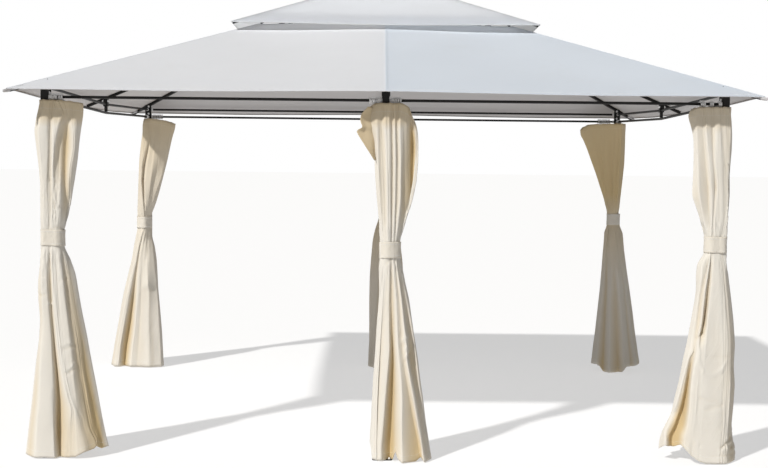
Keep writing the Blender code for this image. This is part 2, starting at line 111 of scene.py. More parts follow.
def placeCamera(spec):
    yaw, pitch, roll = (math.radians(spec[key]) for key in ("yaw", "pitch", "roll"))
    ahead = Vector((math.sin(yaw) * math.cos(pitch), math.cos(yaw) * math.cos(pitch), math.sin(pitch)))
    level = Vector((math.cos(yaw), -math.sin(yaw), 0))
    above = level.cross(ahead)
    right = level * math.cos(roll) + above * math.sin(roll)
    up = above * math.cos(roll) - level * math.sin(roll)
    data = bpy.data.cameras.new("photoCamera")
    data.lens, data.sensor_width, data.clip_end = spec["lens"], spec["sensor"], spec["farthest"]
    made = addObject("photoCamera", data)
    made.matrix_world = Matrix.Translation(spec["place"]) @ Matrix((right, up, -ahead)).transposed().to_4x4()
    bpy.context.scene.camera = made


def addSun(name, spec):
    data = bpy.data.lights.new(name, "SUN")
    data.energy, data.angle, data.color = spec["power"], math.radians(spec["softness"]), spec["tint"]
    height, side = math.radians(spec["height"]), math.radians(spec["side"])
    towards = Vector((math.sin(side) * math.cos(height), -math.cos(side) * math.cos(height), math.sin(height)))
    made = addObject(name, data)
    made.rotation_mode = "QUATERNION"
    made.rotation_quaternion = towards.to_track_quat("Z", "Y")


def lightScene(spec):
    addSun("keyLight", spec["key"])
    addSun("fillLight", spec["fill"])
    world = bpy.data.worlds.new("paleStudio")
    bpy.context.scene.world = world
    world.use_nodes = True
    tree = world.node_tree
    tree.nodes.clear()
    seen = addNode(tree, "ShaderNodeBackground", {"Color": (1, 1, 1), "Strength": spec["skySeen"]})[0]
    glow = addNode(tree, "ShaderNodeBackground", {"Color": spec["skyTint"], "Strength": spec["skyLight"]})[0]
    isSeen = addNode(tree, "ShaderNodeLightPath")["Is Camera Ray"]
    blend = addNode(tree, "ShaderNodeMixShader", {0: isSeen, 1: glow, 2: seen})[0]
    addNode(tree, "ShaderNodeOutputWorld", {"Surface": blend})


placeCamera(camera)
lightScene(lights)
bpy.context.scene.view_settings.view_transform = lights["transform"]
print("camera and lights placed")


# Helpers for materials
def mixColour(tree, share, first, second):
    return addNode(tree, "ShaderNodeMix", {0: share, 6: first, 7: second}, data_type="RGBA")[2]


def addNoise(place, scale, detail, roughness=0.5, distortion=0.0):
    inputs = {"Vector": place, "Scale": scale, "Detail": detail, "Roughness": roughness, "Distortion": distortion}
    return addNode(place.id_data, "ShaderNodeTexNoise", inputs)


def stretched(place, scale):
    return addNode(place.id_data, "ShaderNodeMapping", {"Vector": place, "Scale": scale})[0]


def bumped(height, strength, distance, under=None):
    inputs = {"Strength": strength, "Distance": distance, "Height": height}
    if under is not None:
        inputs["Normal"] = under
    return addNode(height.id_data, "ShaderNodeBump", inputs)[0]


def newMaterial(name):
    made = bpy.data.materials.new(name)
    made.use_nodes = True
    return made, made.node_tree, made.node_tree.nodes["Principled BSDF"]


def objectPlace(tree):
    return addNode(tree, "ShaderNodeTexCoord")["Object"]


def placeGroup(tree, group, inputs):
    return addNode(tree, "ShaderNodeGroup", inputs, node_tree=group)


def letLightThrough(tree, shader, colour, share):
    through = addNode(tree, "ShaderNodeBsdfTranslucent", {"Color": colour})[0]
    both = addNode(tree, "ShaderNodeMixShader", {0: share, 1: shader.outputs[0], 2: through})[0]
    feed(tree.nodes["Material Output"], {"Surface": both})


# Plain weave: warp and weft threads that pass over each other, with thicker threads here and there
def makeWeaveGroup():
    group, given, result = newTree(
        "plainWeave", "ShaderNodeTree",
        [("Place", "Vector", None), ("Threads", "Float", 900.0), ("Slub", "Float", 0.3)],
        [("Height", "Float"), ("Tone", "Float")])
    place = given["Place"]
    wobble = addNoise(place, 35.0, 2.0)["Color"]
    offset = addNode(group, "ShaderNodeVectorMath", {0: wobble, "Scale": 0.0012}, operation="SCALE")[0]
    moved = addNode(group, "ShaderNodeVectorMath", {0: place, 1: offset}, operation="ADD")[0]
    parts = addNode(group, "ShaderNodeSeparateXYZ", {0: moved})
    across, along = (doMath("SINE", times(parts[i], times(given["Threads"], math.pi))) for i in (0, 1))
    warp, weft = doMath("ABSOLUTE", across), doMath("ABSOLUTE", along)
    over = doMath("GREATER_THAN", times(across, along), 0.0)
    height = plus(times(warp, over), times(weft, doMath("SUBTRACT", 1.0, over)))
    slubs = [addNoise(stretched(place, scale), 1.0, 3.0)[0] for scale in ((260.0, 9.0, 9.0), (9.0, 260.0, 9.0))]
    tone = times(plus(*slubs), 0.5)
    feed(result, {"Height": plus(height, times(tone, given["Slub"])), "Tone": tone})
    return group


# Small creases that packing and hanging leave in cloth
def makeCreaseGroup():
    group, given, result = newTree(
        "clothCreases", "ShaderNodeTree",
        [("Place", "Vector", None), ("Scale", "Float", 9.0), ("Stretch", "Vector", (1.0, 0.35, 1.0))],
        [("Height", "Float"), ("Tone", "Float")])
    shaped = addNode(group, "ShaderNodeVectorMath", {0: given["Place"], 1: given["Stretch"]},
                     operation="MULTIPLY")[0]
    broad = addNoise(shaped, given["Scale"], 3.0, distortion=0.6)[0]
    ridge = doMath("ABSOLUTE", doMath("SUBTRACT", broad, 0.5))
    sharp = doMath("POWER", doMath("SUBTRACT", 1.0, times(ridge, 2.0)), 6.0)
    slow = addNoise(given["Place"], 1.7, 2.0)[0]
    feed(result, {"Height": plus(times(sharp, 0.35), broad), "Tone": slow})
    return group


# Outdoor dust: patches, and thin runs downwards
def makeDustGroup():
    group, given, result = newTree(
        "outdoorDust", "ShaderNodeTree",
        [("Place", "Vector", None), ("Scale", "Float", 3.0), ("Cover", "Float", 0.5)], [("Mask", "Float")])
    patch = addNoise(given["Place"], given["Scale"], 6.0, roughness=0.62)[0]
    runs = addNoise(stretched(given["Place"], (22.0, 22.0, 1.2)), 1.0, 3.0)[0]
    both = plus(times(patch, 0.7), times(runs, 0.3))
    start = doMath("SUBTRACT", 0.9, given["Cover"])
    eased = addNode(group, "ShaderNodeMapRange", {"Value": both, "From Min": start, "From Max": 0.85},
                    interpolation_type="SMOOTHSTEP")
    feed(result, {"Mask": eased["Result"]})
    return group


# Powder coat: fine orange peel with scuffs where parts were handled
def makeCoatGroup():
    group, given, result = newTree(
        "powderCoat", "ShaderNodeTree",
        [("Place", "Vector", None), ("Peel", "Float", 900.0), ("Scuff", "Float", 0.2)],
        [("Height", "Float"), ("Scuffs", "Float")])
    peel = addNoise(given["Place"], given["Peel"], 1.0)[0]
    rub = addNoise(given["Place"], 14.0, 8.0, roughness=0.72, distortion=0.5)[0]
    start = doMath("SUBTRACT", 0.86, given["Scuff"])
    eased = addNode(group, "ShaderNodeMapRange", {"Value": rub, "From Min": start, "From Max": 0.86})
    feed(result, {"Height": peel, "Scuffs": eased["Result"]})
    return group


weaveGroup = makeWeaveGroup()
creaseGroup = makeCreaseGroup()
dustGroup = makeDustGroup()
coatGroup = makeCoatGroup()

frameFinish = {
    "colour": (0.0045, 0.0037, 0.0032), "worn": (0.018, 0.016, 0.014), "dust": (0.060, 0.054, 0.046),
    "roughness": 0.52, "gloss": 0.32, "peelScale": 700.0, "peelDepth": 0.00006, "peelStrength": 0.35,
    "scuff": 0.16, "scuffShare": 0.55, "scuffRoughness": 0.1,
    "dustScale": 5.0, "dustCover": 0.18, "dustShare": 0.16, "dustRoughness": 0.2,
}


def makeFrameFinish(name, spec):
    made, tree, shader = newMaterial(name)
    place = objectPlace(tree)
    coat = placeGroup(tree, coatGroup, {"Place": place, "Peel": spec["peelScale"], "Scuff": spec["scuff"]})
    dust = placeGroup(tree, dustGroup,
                      {"Place": place, "Scale": spec["dustScale"], "Cover": spec["dustCover"]})["Mask"]
    worn = mixColour(tree, times(coat["Scuffs"], spec["scuffShare"]), spec["colour"], spec["worn"])
    rough = plus(spec["roughness"], times(dust, spec["dustRoughness"]))
    feed(shader, {
        "Base Color": mixColour(tree, times(dust, spec["dustShare"]), worn, spec["dust"]),
        "Roughness": plus(rough, times(coat["Scuffs"], spec["scuffRoughness"])),
        "Normal": bumped(coat["Height"], spec["peelStrength"], spec["peelDepth"]),
        "Specular IOR Level": spec["gloss"]})
    return made


# What all cloth shares, then the cloth of the main roof, the top roof, the curtains and the ties
clothSurface = {
    "slub": 0.35, "patchLow": 0.965, "patchSpread": 0.07, "dustScale": 2.2, "dustCover": 0.42, "dustShare": 0.12,
    "roughness": 0.78, "slubRoughness": 0.14, "sheen": 0.12, "sheenRoughness": 0.5, "gloss": 0.25,
    "creaseStrength": 0.8, "weaveStrength": 0.5,
}
# The main roof's underside colour is painted shade, darker than its top
roofCloth = {
    # left and right are a lit and a shaded copy of the roof cloth: painted light and shade for how each panel turns
    # to the sun
    "left": (0.690, 0.715, 0.760), "right": (0.600, 0.665, 0.750), "below": (0.52, 0.515, 0.53),
    "dust": (0.45, 0.43, 0.38), "glow": (0.80, 0.70, 0.56), "glowShare": 0.22,
    "threads": 700.0, "weaveDepth": 0.00012,
    "creaseDepth": 0.0016, "creaseScale": 5.0, "creaseStretch": (1.0, 0.45, 1.0),
}
topCloth = {
    # the top roof's underside colour is painted warm light, for light that passes through and between the two roofs
    **roofCloth, "left": (0.900, 0.920, 0.955), "right": (0.900, 0.920, 0.955), "below": (0.92, 0.88, 0.80),
    "glow": (0.86, 0.875, 0.90), "glowShare": 0.70,
}
curtainCloth = {
    # deep is the warm colour of painted shade inside folds and under the roof, as of light that has passed through
    # the cloth
    "colour": (0.715, 0.690, 0.635), "deep": (0.585, 0.455, 0.250), "dust": (0.58, 0.54, 0.46),
    "glow": (0.84, 0.70, 0.46), "glowShare": 0.22, "threads": 1100.0, "weaveDepth": 0.00010,
    "creaseDepth": 0.0022, "creaseScale": 11.0, "creaseStretch": (1.0, 0.30, 1.0),
}
tieCloth = {**curtainCloth, "deepShare": 0.12, "creaseScale": 16.0, "creaseStretch": (0.5, 1.0, 1.0)}


def makeClothFinish(name, spec, baseColour):
    made, tree, shader = newMaterial(name)
    own = clothSurface
    sheetPlace = addNode(tree, "ShaderNodeUVMap", uv_map="cloth")[0]
    weave = placeGroup(tree, weaveGroup, {"Place": sheetPlace, "Threads": spec["threads"], "Slub": own["slub"]})
    crease = placeGroup(tree, creaseGroup,
                        {"Place": sheetPlace, "Scale": spec["creaseScale"], "Stretch": spec["creaseStretch"]})
    dust = placeGroup(tree, dustGroup,
                      {"Place": objectPlace(tree), "Scale": own["dustScale"], "Cover": own["dustCover"]})["Mask"]
    shade = plus(own["patchLow"], times(crease["Tone"], own["patchSpread"]))
    patchy = addNode(tree, "ShaderNodeHueSaturation", {"Color": baseColour(tree, spec), "Value": shade})[0]
    creased = bumped(crease["Height"], own["creaseStrength"], spec["creaseDepth"])
    feed(shader, {
        "Base Color": mixColour(tree, times(dust, own["dustShare"]), patchy, spec["dust"]),
        "Roughness": plus(own["roughness"], times(weave["Tone"], own["slubRoughness"])),
        "Normal": bumped(weave["Height"], own["weaveStrength"], spec["weaveDepth"], creased),
        "Sheen Weight": own["sheen"], "Sheen Roughness": own["sheenRoughness"], "Specular IOR Level": own["gloss"]})
    letLightThrough(tree, shader, spec["glow"], spec["glowShare"])
    return made


def roofColour(tree, spec):
    # painted light and shade: each panel mixes its lit and its shaded copy by its painted panel shade
    shade = addNode(tree, "ShaderNodeAttribute", attribute_name="paintedPanelShade")["Fac"]
    above = mixColour(tree, shade, spec["left"], spec["right"])
    facing = addNode(tree, "ShaderNodeSeparateXYZ", {0: addNode(tree, "ShaderNodeTexCoord")["Normal"]})["Z"]
    # faces that point down take the painted underside colour
    return mixColour(tree, doMath("LESS_THAN", facing, 0.0), above, spec["below"])


def curtainColour(tree, spec):
    # a tie has one even tone; a curtain takes the deep colour inside its folds, painted shade
    depth = spec.get("deepShare") or addNode(tree, "ShaderNodeAttribute", attribute_name="paintedFoldShade")["Fac"]
    return mixColour(tree, depth, spec["colour"], spec["deep"])


ringPlastic = {
    # the aged yellow tint is the rings' own colour
    "colour": (0.72, 0.70, 0.68), "yellowingAndPaintedShade": (0.68, 0.62, 0.52), "glow": (0.7, 0.68, 0.62), "glowShare": 0.25,
    "roughness": 0.34, "ageScale": 18.0, "ageRoughness": 0.15,
    "grainScale": 1400.0, "grainStrength": 0.2, "grainDepth": 0.00005,
}


def makeRingFinish(name, spec):
    made, tree, shader = newMaterial(name)
    place = objectPlace(tree)
    age, grain = addNoise(place, spec["ageScale"], 3.0)[0], addNoise(place, spec["grainScale"], 1.0)[0]
    feed(shader, {
        "Base Color": mixColour(tree, age, spec["colour"], spec["yellowingAndPaintedShade"]),
        "Roughness": plus(spec["roughness"], times(age, spec["ageRoughness"])),
        "Normal": bumped(grain, spec["grainStrength"], spec["grainDepth"])})
    letLightThrough(tree, shader, spec["glow"], spec["glowShare"])
    return made


boltZinc = {
    "colour": (0.62, 0.61, 0.58), "stain": (0.34, 0.29, 0.23), "stainScale": 60.0, "stainCover": 0.40,
    "stainShare": 0.7, "metal": 0.9, "roughness": 0.32,
    "scratchScale": 900.0, "scratchRoughness": 0.25, "scratchStrength": 0.25, "scratchDepth": 0.00008,
}


def makeBoltFinish(name, spec):
    made, tree, shader = newMaterial(name)
    place = objectPlace(tree)
    stain = placeGroup(tree, dustGroup,
                       {"Place": place, "Scale": spec["stainScale"], "Cover": spec["stainCover"]})["Mask"]
    scratch = addNoise(place, spec["scratchScale"], 2.0)[0]
    feed(shader, {
        "Base Color": mixColour(tree, times(stain, spec["stainShare"]), spec["colour"], spec["stain"]),
        "Roughness": plus(spec["roughness"], times(scratch, spec["scratchRoughness"])),
        "Normal": bumped(scratch, spec["scratchStrength"], spec["scratchDepth"]),
        "Metallic": spec["metal"]})
    return made


threadCotton = {
    "colour": (0.74, 0.69, 0.58), "shadow": (0.52, 0.46, 0.36), "roughness": 0.6,
    "twistScale": 1600.0, "twistRoughness": 0.2, "twistStrength": 0.4, "twistDepth": 0.0001,
}


def makeThreadFinish(name, spec):
    made, tree, shader = newMaterial(name)
    twist = addNoise(objectPlace(tree), spec["twistScale"], 1.0)[0]
    feed(shader, {
        "Base Color": mixColour(tree, twist, spec["shadow"], spec["colour"]),
        "Roughness": plus(spec["roughness"], times(twist, spec["twistRoughness"])),
        "Normal": bumped(twist, spec["twistStrength"], spec["twistDepth"])})
    return made


blackCoat = makeFrameFinish("blackPowderCoat", frameFinish)
roofFabric = makeClothFinish("roofPolyester", roofCloth, roofColour)
topFabric = makeClothFinish("topRoofPolyester", topCloth, roofColour)
curtainFabric = makeClothFinish("curtainPolyester", curtainCloth, curtainColour)
tieFabric = makeClothFinish("tiePolyester", tieCloth, curtainColour)
ringFinish = makeRingFinish("ringPlastic", ringPlastic)
boltFinish = makeBoltFinish("boltZinc", boltZinc)
threadFinish = makeThreadFinish("sewingThread", threadCotton)

for node in frameNodes.values():
    node.data.materials.clear()
    node.data.materials.append(blackCoat)
print("materials made")

floorLook = {
    "reach": 140.0, "level": -0.0005, "colour": (0.42, 0.42, 0.42), "glow": 0.55, "roughness": 0.9, "gloss": 0.1,
}


def makeFloor(spec):
    mesh = bpy.data.meshes.new("floor")
    reach = spec["reach"]
    corners = [(x * reach, y * reach, spec["level"]) for x, y in ((-1, -1), (1, -1), (1, 1), (-1, 1))]
    mesh.from_pydata(corners, [], [(0, 1, 2, 3)])
    floor = addObject("floor", mesh)
    made, _, shader = newMaterial("paleFloor")
    feed(shader, {
        "Base Color": spec["colour"], "Emission Color": (1, 1, 1), "Emission Strength": spec["glow"],
        "Roughness": spec["roughness"], "Specular IOR Level": spec["gloss"]})
    mesh.materials.append(made)


makeFloor(floorLook)


# Small helpers for meshes
def smooth(value):
    value = max(0.0, min(1.0, value))
    return value * value * (3 - 2 * value)


def betweenKeys(keys, z):
    # keys run downwards, each (z, value, ...)
    if z >= keys[0][0]:
        return keys[0][1:]
    for upper, lower in zip(keys, keys[1:]):
        if z >= lower[0]:
            share = (upper[0] - z) / (upper[0] - lower[0])
            return tuple(a + (b - a) * share for a, b in zip(upper[1:], lower[1:]))
    return keys[-1][1:]


def lineValue(keys, x):
    # keys run upwards, each (x, value)
    if x <= keys[0][0]:
        return keys[0][1]
    for first, second in zip(keys, keys[1:]):
        if x <= second[0]:
            return first[1] + (second[1] - first[1]) * (x - first[0]) / (second[0] - first[0])
    return keys[-1][1]


def gridSheet(name, rows, uvs, material, closed=False, attribute=None, values=None):
    # rows of points, all of one length; closed joins the last column to the first
    count = len(rows[0])
    faces = []
    for i in range(len(rows) - 1):
        for j in range(count if closed else count - 1):
            k = (j + 1) % count
            faces.append((i * count + j, i * count + k, (i + 1) * count + k, (i + 1) * count + j))
    mesh = bpy.data.meshes.new(name)
    mesh.from_pydata([tuple(point) for row in rows for point in row], [], faces)
    layer = mesh.uv_layers.new(name="cloth")
    flat = [uv for row in uvs for uv in row]
    for loop in mesh.loops:
        layer.data[loop.index].uv = flat[loop.vertex_index]
    if attribute:
        made = mesh.attributes.new(attribute, "FLOAT", "POINT")
        made.data.foreach_set("value", [value for row in values for value in row])
    mesh.materials.append(material)
    mesh.shade_smooth()
    return addObject(name, mesh)


def applyModifiers(piece):
    bpy.context.view_layer.update()
    evaluated = piece.evaluated_get(bpy.context.evaluated_depsgraph_get())
    mesh = bpy.data.meshes.new_from_object(evaluated)
    piece.modifiers.clear()
    old = piece.data
    piece.data = mesh
    bpy.data.meshes.remove(old)


def thicken(piece, thickness, offset=-1.0):
    wall = piece.modifiers.new("cloth thickness", "SOLIDIFY")
    wall.thickness, wall.offset, wall.use_even_offset = thickness, offset, False
    applyModifiers(piece)


def addTube(bm, rings):
    # a closed body through rings of points, with flat ends
    rings = [[bm.verts.new(point) for point in ring] for ring in rings]
    for first, second in zip(rings, rings[1:]):
        for i in range(len(first)):
            j = (i + 1) % len(first)
            bm.faces.new((first[i], first[j], second[j], second[i]))
    bm.faces.new(rings[0][::-1])
    bm.faces.new(rings[-1])


def bodyPiece(name, bm, material):
    bmesh.ops.recalc_face_normals(bm, faces=bm.faces)
    mesh = bpy.data.meshes.new(name)
    bm.to_mesh(mesh)
    bm.free()
    mesh.materials.append(material)
    return addObject(name, mesh)


def meshArea(piece):
    return sum(face.area for face in piece.data.polygons)


# Repeated small parts: one tree puts a little shape on each point, turned to face along the point's own direction
def makeScatterTree(name, inputs, buildShape):
    tree, given, result = newTree(
        name, "GeometryNodeTree",
        [("Geometry", "Geometry", None)] + [(label, "Float", value) for label, value in inputs]
        + [("Random Turn", "Float", 0.0), ("Seed", "Int", 7), ("Finish", "Material", None)],
        [("Geometry", "Geometry")])
    shape = buildShape(tree, given)
    facing = addNode(tree, "GeometryNodeInputNamedAttribute", {"Name": "facing"}, data_type="FLOAT_VECTOR")[0]
    lined = addNode(tree, "FunctionNodeAlignRotationToVector", {"Vector": facing}, axis="Z")[0]
    spin = addNode(tree, "FunctionNodeRandomValue", {"Min": 0.0, 3: given["Random Turn"], "Seed": given["Seed"]},
                   data_type="FLOAT")[1]
    axisTurn = addNode(tree, "FunctionNodeAxisAngleToRotation", {"Axis": (0, 0, 1), "Angle": spin})[0]
    turned = addNode(tree, "FunctionNodeRotateRotation", {"Rotation": lined, "Rotate By": axisTurn},
                     rotation_space="LOCAL")[0]
    spread = addNode(tree, "GeometryNodeInstanceOnPoints",
                     {"Points": given["Geometry"], "Instance": shape, "Rotation": turned})[0]
    real = addNode(tree, "GeometryNodeRealizeInstances", {"Geometry": spread})[0]
    painted = addNode(tree, "GeometryNodeSetMaterial", {"Geometry": real, "Material": given["Finish"]})[0]
    feed(result, {"Geometry": painted})
    return tree


def joinShapes(tree, *shapes):
    joined = tree.nodes.new("GeometryNodeJoinGeometry")
    for shape in shapes:
        tree.links.new(shape, joined.inputs[0])
    return joined.outputs[0]


def movedShape(shape, axis, distance, turn=(0, 0, 0)):
    # axis 0 is X and axis 2 is Z
    offset = addNode(shape.id_data, "ShaderNodeCombineXYZ", {axis: distance})[0]
    return addNode(shape.id_data, "GeometryNodeTransform",
                   {"Geometry": shape, "Translation": offset, "Rotation": turn})[0]


def roundBar(tree, sides, radius, length):
    return addNode(tree, "GeometryNodeMeshCylinder", {"Vertices": sides, "Radius": radius, "Depth": length})[0]


def taperedBar(tree, sides, radius, taper, length):
    return addNode(tree, "GeometryNodeMeshCone", {
        "Vertices": sides, "Radius Bottom": radius, "Radius Top": times(radius, taper), "Depth": length})[0]


def wireRing(tree, radius, wireRadius, around, section):
    circle, wire = (
        addNode(tree, "GeometryNodeCurvePrimitiveCircle", {"Resolution": count, "Radius": size}, mode="RADIUS")[0]
        for count, size in ((around, radius), (section, wireRadius)))
    return addNode(tree, "GeometryNodeCurveToMesh", {"Curve": circle, "Profile Curve": wire, "Fill Caps": True})[0]


def boltShape(tree, given):
    washerDepth, headWidth, headDepth = given["Washer Depth"], given["Head Width"], given["Head Depth"]
    washer = roundBar(tree, 16, times(given["Washer Width"], 0.5), washerDepth)
    head = taperedBar(tree, 6, times(headWidth, 0.5), 0.88, headDepth)
    stud = roundBar(tree, 10, times(headWidth, 0.24), given["Stud Length"])
    studLift = plus(plus(washerDepth, headDepth), 0.0005)
    return joinShapes(tree, movedShape(washer, 2, times(washerDepth, 0.5)), movedShape(head, 2, washerDepth),
                      movedShape(stud, 2, studLift))


def ringShape(tree, given):
    # a ring on the tube, with a small eye below that carries the cloth
    ring = wireRing(tree, given["Ring Radius"], given["Wire Radius"], 24, 8)
    eye = wireRing(tree, given["Eye Radius"], times(given["Wire Radius"], 0.75), 12, 6)
    drop = times(plus(given["Ring Radius"], given["Eye Radius"]), -1.0)
    return joinShapes(tree, ring, movedShape(eye, 0, drop, (math.pi / 2, 0, 0)))


def stitchShape(tree, given):
    return roundBar(tree, 5, given["Thread Radius"], given["Stitch Length"])


def collarShape(tree, given):
    radius, length = given["Collar Radius"], given["Collar Length"]
    lip = taperedBar(tree, 20, radius, 0.84, times(length, 0.35))
    return joinShapes(tree, roundBar(tree, 20, radius, length), movedShape(lip, 2, times(length, 0.5)))


def scatter(name, tree, values, places, facings, material):
    mesh = bpy.data.meshes.new(name + "Points")
    mesh.from_pydata([tuple(place) for place in places], [], [])
    made = mesh.attributes.new("facing", "FLOAT_VECTOR", "POINT")
    made.data.foreach_set("vector", [part for facing in facings for part in facing])
    carrier = addObject(name, mesh)
    step = carrier.modifiers.new("scatter", "NODES")
    step.node_group = tree
    given = {**values, "Finish": material}
    for item in tree.interface.items_tree:
        if item.item_type == "SOCKET" and item.in_out == "INPUT" and item.name in given:
            step[item.identifier] = given[item.name]
    applyModifiers(carrier)
    carrier.data.name = name
    for index in range(len(carrier.data.materials) - 1, 0, -1):
        carrier.data.materials.pop(index=index)
    return carrier


boltTree = makeScatterTree("boltsOnPoints", [
    ("Head Width", 0.011), ("Head Depth", 0.005), ("Stud Length", 0.004),
    ("Washer Width", 0.016), ("Washer Depth", 0.0015)], boltShape)
ringTree = makeScatterTree("ringsOnRail", [
    ("Ring Radius", 0.0115), ("Wire Radius", 0.0017), ("Eye Radius", 0.0035)], ringShape)
stitchTree = makeScatterTree("stitchesOnHem", [("Stitch Length", 0.006), ("Thread Radius", 0.0005)], stitchShape)
collarTree = makeScatterTree("collarsOnRail", [("Collar Radius", 0.0108), ("Collar Length", 0.016)], collarShape)
print("node trees for repeated parts made")

# Both roofs are stretched sheets of flat panels, with welted seams over the ribs and a turned hem. Lengths in
# metres; hemSteps and hemInsets shape the edge, and the wrinkles fan out from the corners of the eave.
mainRoof = {
    "rows": 34, "columns": 26, "hemSteps": (0.0, 0.004, 0.012), "ridgeStep": 1.0, "narrowest": 0.0,
    "sag": 0.012, "eaveSag": 0.006, "ventLift": 0.022, "unevenness": 0.0012, "thickness": 0.0014,
    "weltWidth": 0.007, "weltHeight": 0.0011, "weltFade": 1.0,
    "hemTurn": 0.0038, "hemInsets": (-0.0012, 0.001, 0.012), "hemWave": 0.0006,
    "wrinkle": 0.0022, "wrinkleReach": 0.55, "wrinkleStart": (0.05, 0.03), "fanStart": 0.02, "fanCount": 17,
    # shades: the painted shade of each panel, from the lit copy (0) to the shaded copy (1)
    "fanShift": 1.7, "shades": (0.06, 0.95, 0.55, 0.35, 0.7, 0.3, 0.5, 0.2),
}
topRoof = {
    "rows": 22, "columns": 22, "hemSteps": (0.0, 0.01, 0.03), "ridgeStep": 0.985, "narrowest": 0.12,
    "sag": 0.0, "eaveSag": 0.009, "ventLift": 0.0, "unevenness": 0.0, "thickness": 0.0014,
    "weltWidth": 0.006, "weltHeight": 0.0010, "weltFade": 0.9,
    "hemTurn": 0.004, "hemInsets": (-0.001, 0.001, 0.010), "hemWave": 0.0,
    "wrinkle": 0.0035, "wrinkleReach": 0.30, "wrinkleStart": (0.03, 0.05), "fanStart": 0.015, "fanCount": 13,
    "fanShift": 2.3, "shades": (0.30, 0.5, 0.6, 0.3),
}


def roofFolds():
    # the lines of the eight ribs, each from the eave to the vent; even ones run to a corner
    ex, ey = plan["eave"]
    vx, vy = plan["vent"]
    corner, front, side, vent = plan["cornerZ"], plan["frontZ"], plan["sideZ"], plan["ventZ"]
    ends = [(-ex, -ey, corner), (0, -ey, front), (ex, -ey, corner), (ex, 0, side),
            (ex, ey, corner), (0, ey, front), (-ex, ey, corner), (-ex, 0, side)]
    tops = [(-vx, -vy), (0, -vy), (vx, -vy), (vx, 0), (vx, vy), (0, vy), (-vx, vy), (-vx, 0)]
    return [(Vector(end), Vector((*top, vent))) for end, top in zip(ends, tops)]


def topFolds():
    tx, ty = plan["topEave"]
    ridge = plan["ridge"]
    return [(Vector((x, y, plan["topEaveZ"])), Vector((end, 0, plan["ridgeZ"])))
            for x, y, end in ((-tx, -ty, -ridge), (tx, -ty, ridge), (tx, ty, ridge), (-tx, ty, -ridge))]


def foldShares(width, welt, count):
    # places across a panel: close together beside both seams, even between them
    first = [part * welt / width for part in (0.0, 0.55, 0.9, 1.25, 2.6)]
    last = [1 - share for share in reversed(first[1:])]
    start, end = first[-1], last[0]
    return first + [start + (end - start) * (i + 1) / (count + 1) for i in range(count)] + last


def weltRise(distance, spec):
    return spec["weltHeight"] * (1 - smooth((distance - spec["weltWidth"] * 0.75) / (spec["weltWidth"] * 0.5)))


def riseSteps(spec):
    start = spec["hemSteps"][-1]
    steps = list(spec["hemSteps"]) + [start + (1 - start) * (i + 1) / spec["rows"] for i in range(spec["rows"])]
    if spec["ridgeStep"] < 1:
        steps = [step for step in steps if step < spec["ridgeStep"]] + [spec["ridgeStep"], 1.0]
    return steps


def turnedHem(eaveRow, spec, reachX, reachY):
    # the hem turns down and back under itself
    turned = []
    for depth, inset in zip((0.002, spec["hemTurn"], spec["hemTurn"] + 0.0006), spec["hemInsets"]):
        hemRow = []
        for point in eaveRow:
            outX = math.copysign(1, point.x) if abs(point.x) > reachX - 0.0001 else 0
            outY = math.copysign(1, point.y) if abs(point.y) > reachY - 0.0001 else 0
            out = Vector((outX, outY, 0)).normalized()
            wave = spec["hemWave"] * noise.noise(Vector((point.x * 9, point.y * 9, depth * 50)))
            hemRow.append(point - out * inset - Vector((0, 0, depth + wave)))
        turned.append(hemRow)
    return turned[::-1]


def makeRoof(name, spec, folds, material):
    rows, uvs, shades = [], [], []
    for rise in riseSteps(spec):
        row, uvRow, shadeRow = [], [], []
        around = 0.0
        for k, (eave, top) in enumerate(folds):
            nextEave, nextTop = folds[(k + 1) % len(folds)]
            low, high = eave.lerp(top, rise), nextEave.lerp(nextTop, rise)
            width = max((high - low).length, 0.0001)
            slope = (top - eave).length
            for share in foldShares(max(width, spec["narrowest"]), spec["weltWidth"], spec["columns"])[:-1]:
                point = low.lerp(high, share)
                hollow = math.sin(math.pi * share) ** 2
                point.z -= hollow * (spec["sag"] * math.sin(math.pi * rise) + spec["eaveSag"] * (1 - rise) ** 2)
                nearest = min(share, 1 - share) * width
                weltShare = 1 - smooth((rise - spec["weltFade"]) / 0.1)
                point.z += weltRise(nearest, spec) * weltShare - spec["weltHeight"]
                if spec["ventLift"] and abs(eave.y) > 1 and abs(nextEave.y) > 1:
                    # the front and back middle ribs carry the sheet a little higher at the vent
                    inner = share if eave.x == 0 else 1 - share
                    point.z += spec["ventLift"] * math.cos(inner * math.pi / 2) ** 2 * smooth((rise - 0.55) / 0.45)
                reach = math.hypot(nearest, rise * slope)
                fan = math.atan2(nearest, rise * slope + spec["fanStart"])
                besideSeam, aboveEave = spec["wrinkleStart"]
                pull = math.exp(-reach / spec["wrinkleReach"])
                pull *= smooth(nearest / besideSeam) * smooth(rise / aboveEave)
                wave = math.sin(fan * spec["fanCount"] + k * spec["fanShift"])
                point.z -= pull * spec["wrinkle"] * (0.5 + 0.5 * wave)
                bulge = noise.noise(Vector((point.x * 2.1, point.y * 2.1, 3.7 + k)))
                point.z += spec["unevenness"] * hollow * bulge
                row.append(point)
                uvRow.append((around + share * width, rise * slope))
                # the panel colour turns towards the shaded copy beside each seam
                nearSeamDarkening = 0.10 * math.exp(-nearest / 0.02)
                shadeRow.append(min(1.0, spec["shades"][k] + nearSeamDarkening))
            around += width
        rows.append(row)
        uvs.append(uvRow)
        shades.append(shadeRow)
    hem = turnedHem(rows[0], spec, abs(folds[0][0].x), abs(folds[0][0].y))
    hemUvs = [[(u, -0.004 * (i + 1)) for u, v in uvs[0]] for i in range(3)][::-1]
    return gridSheet(name, hem + rows, hemUvs + uvs, material, closed=True,
                     attribute="paintedPanelShade", values=[shades[0]] * 3 + shades)


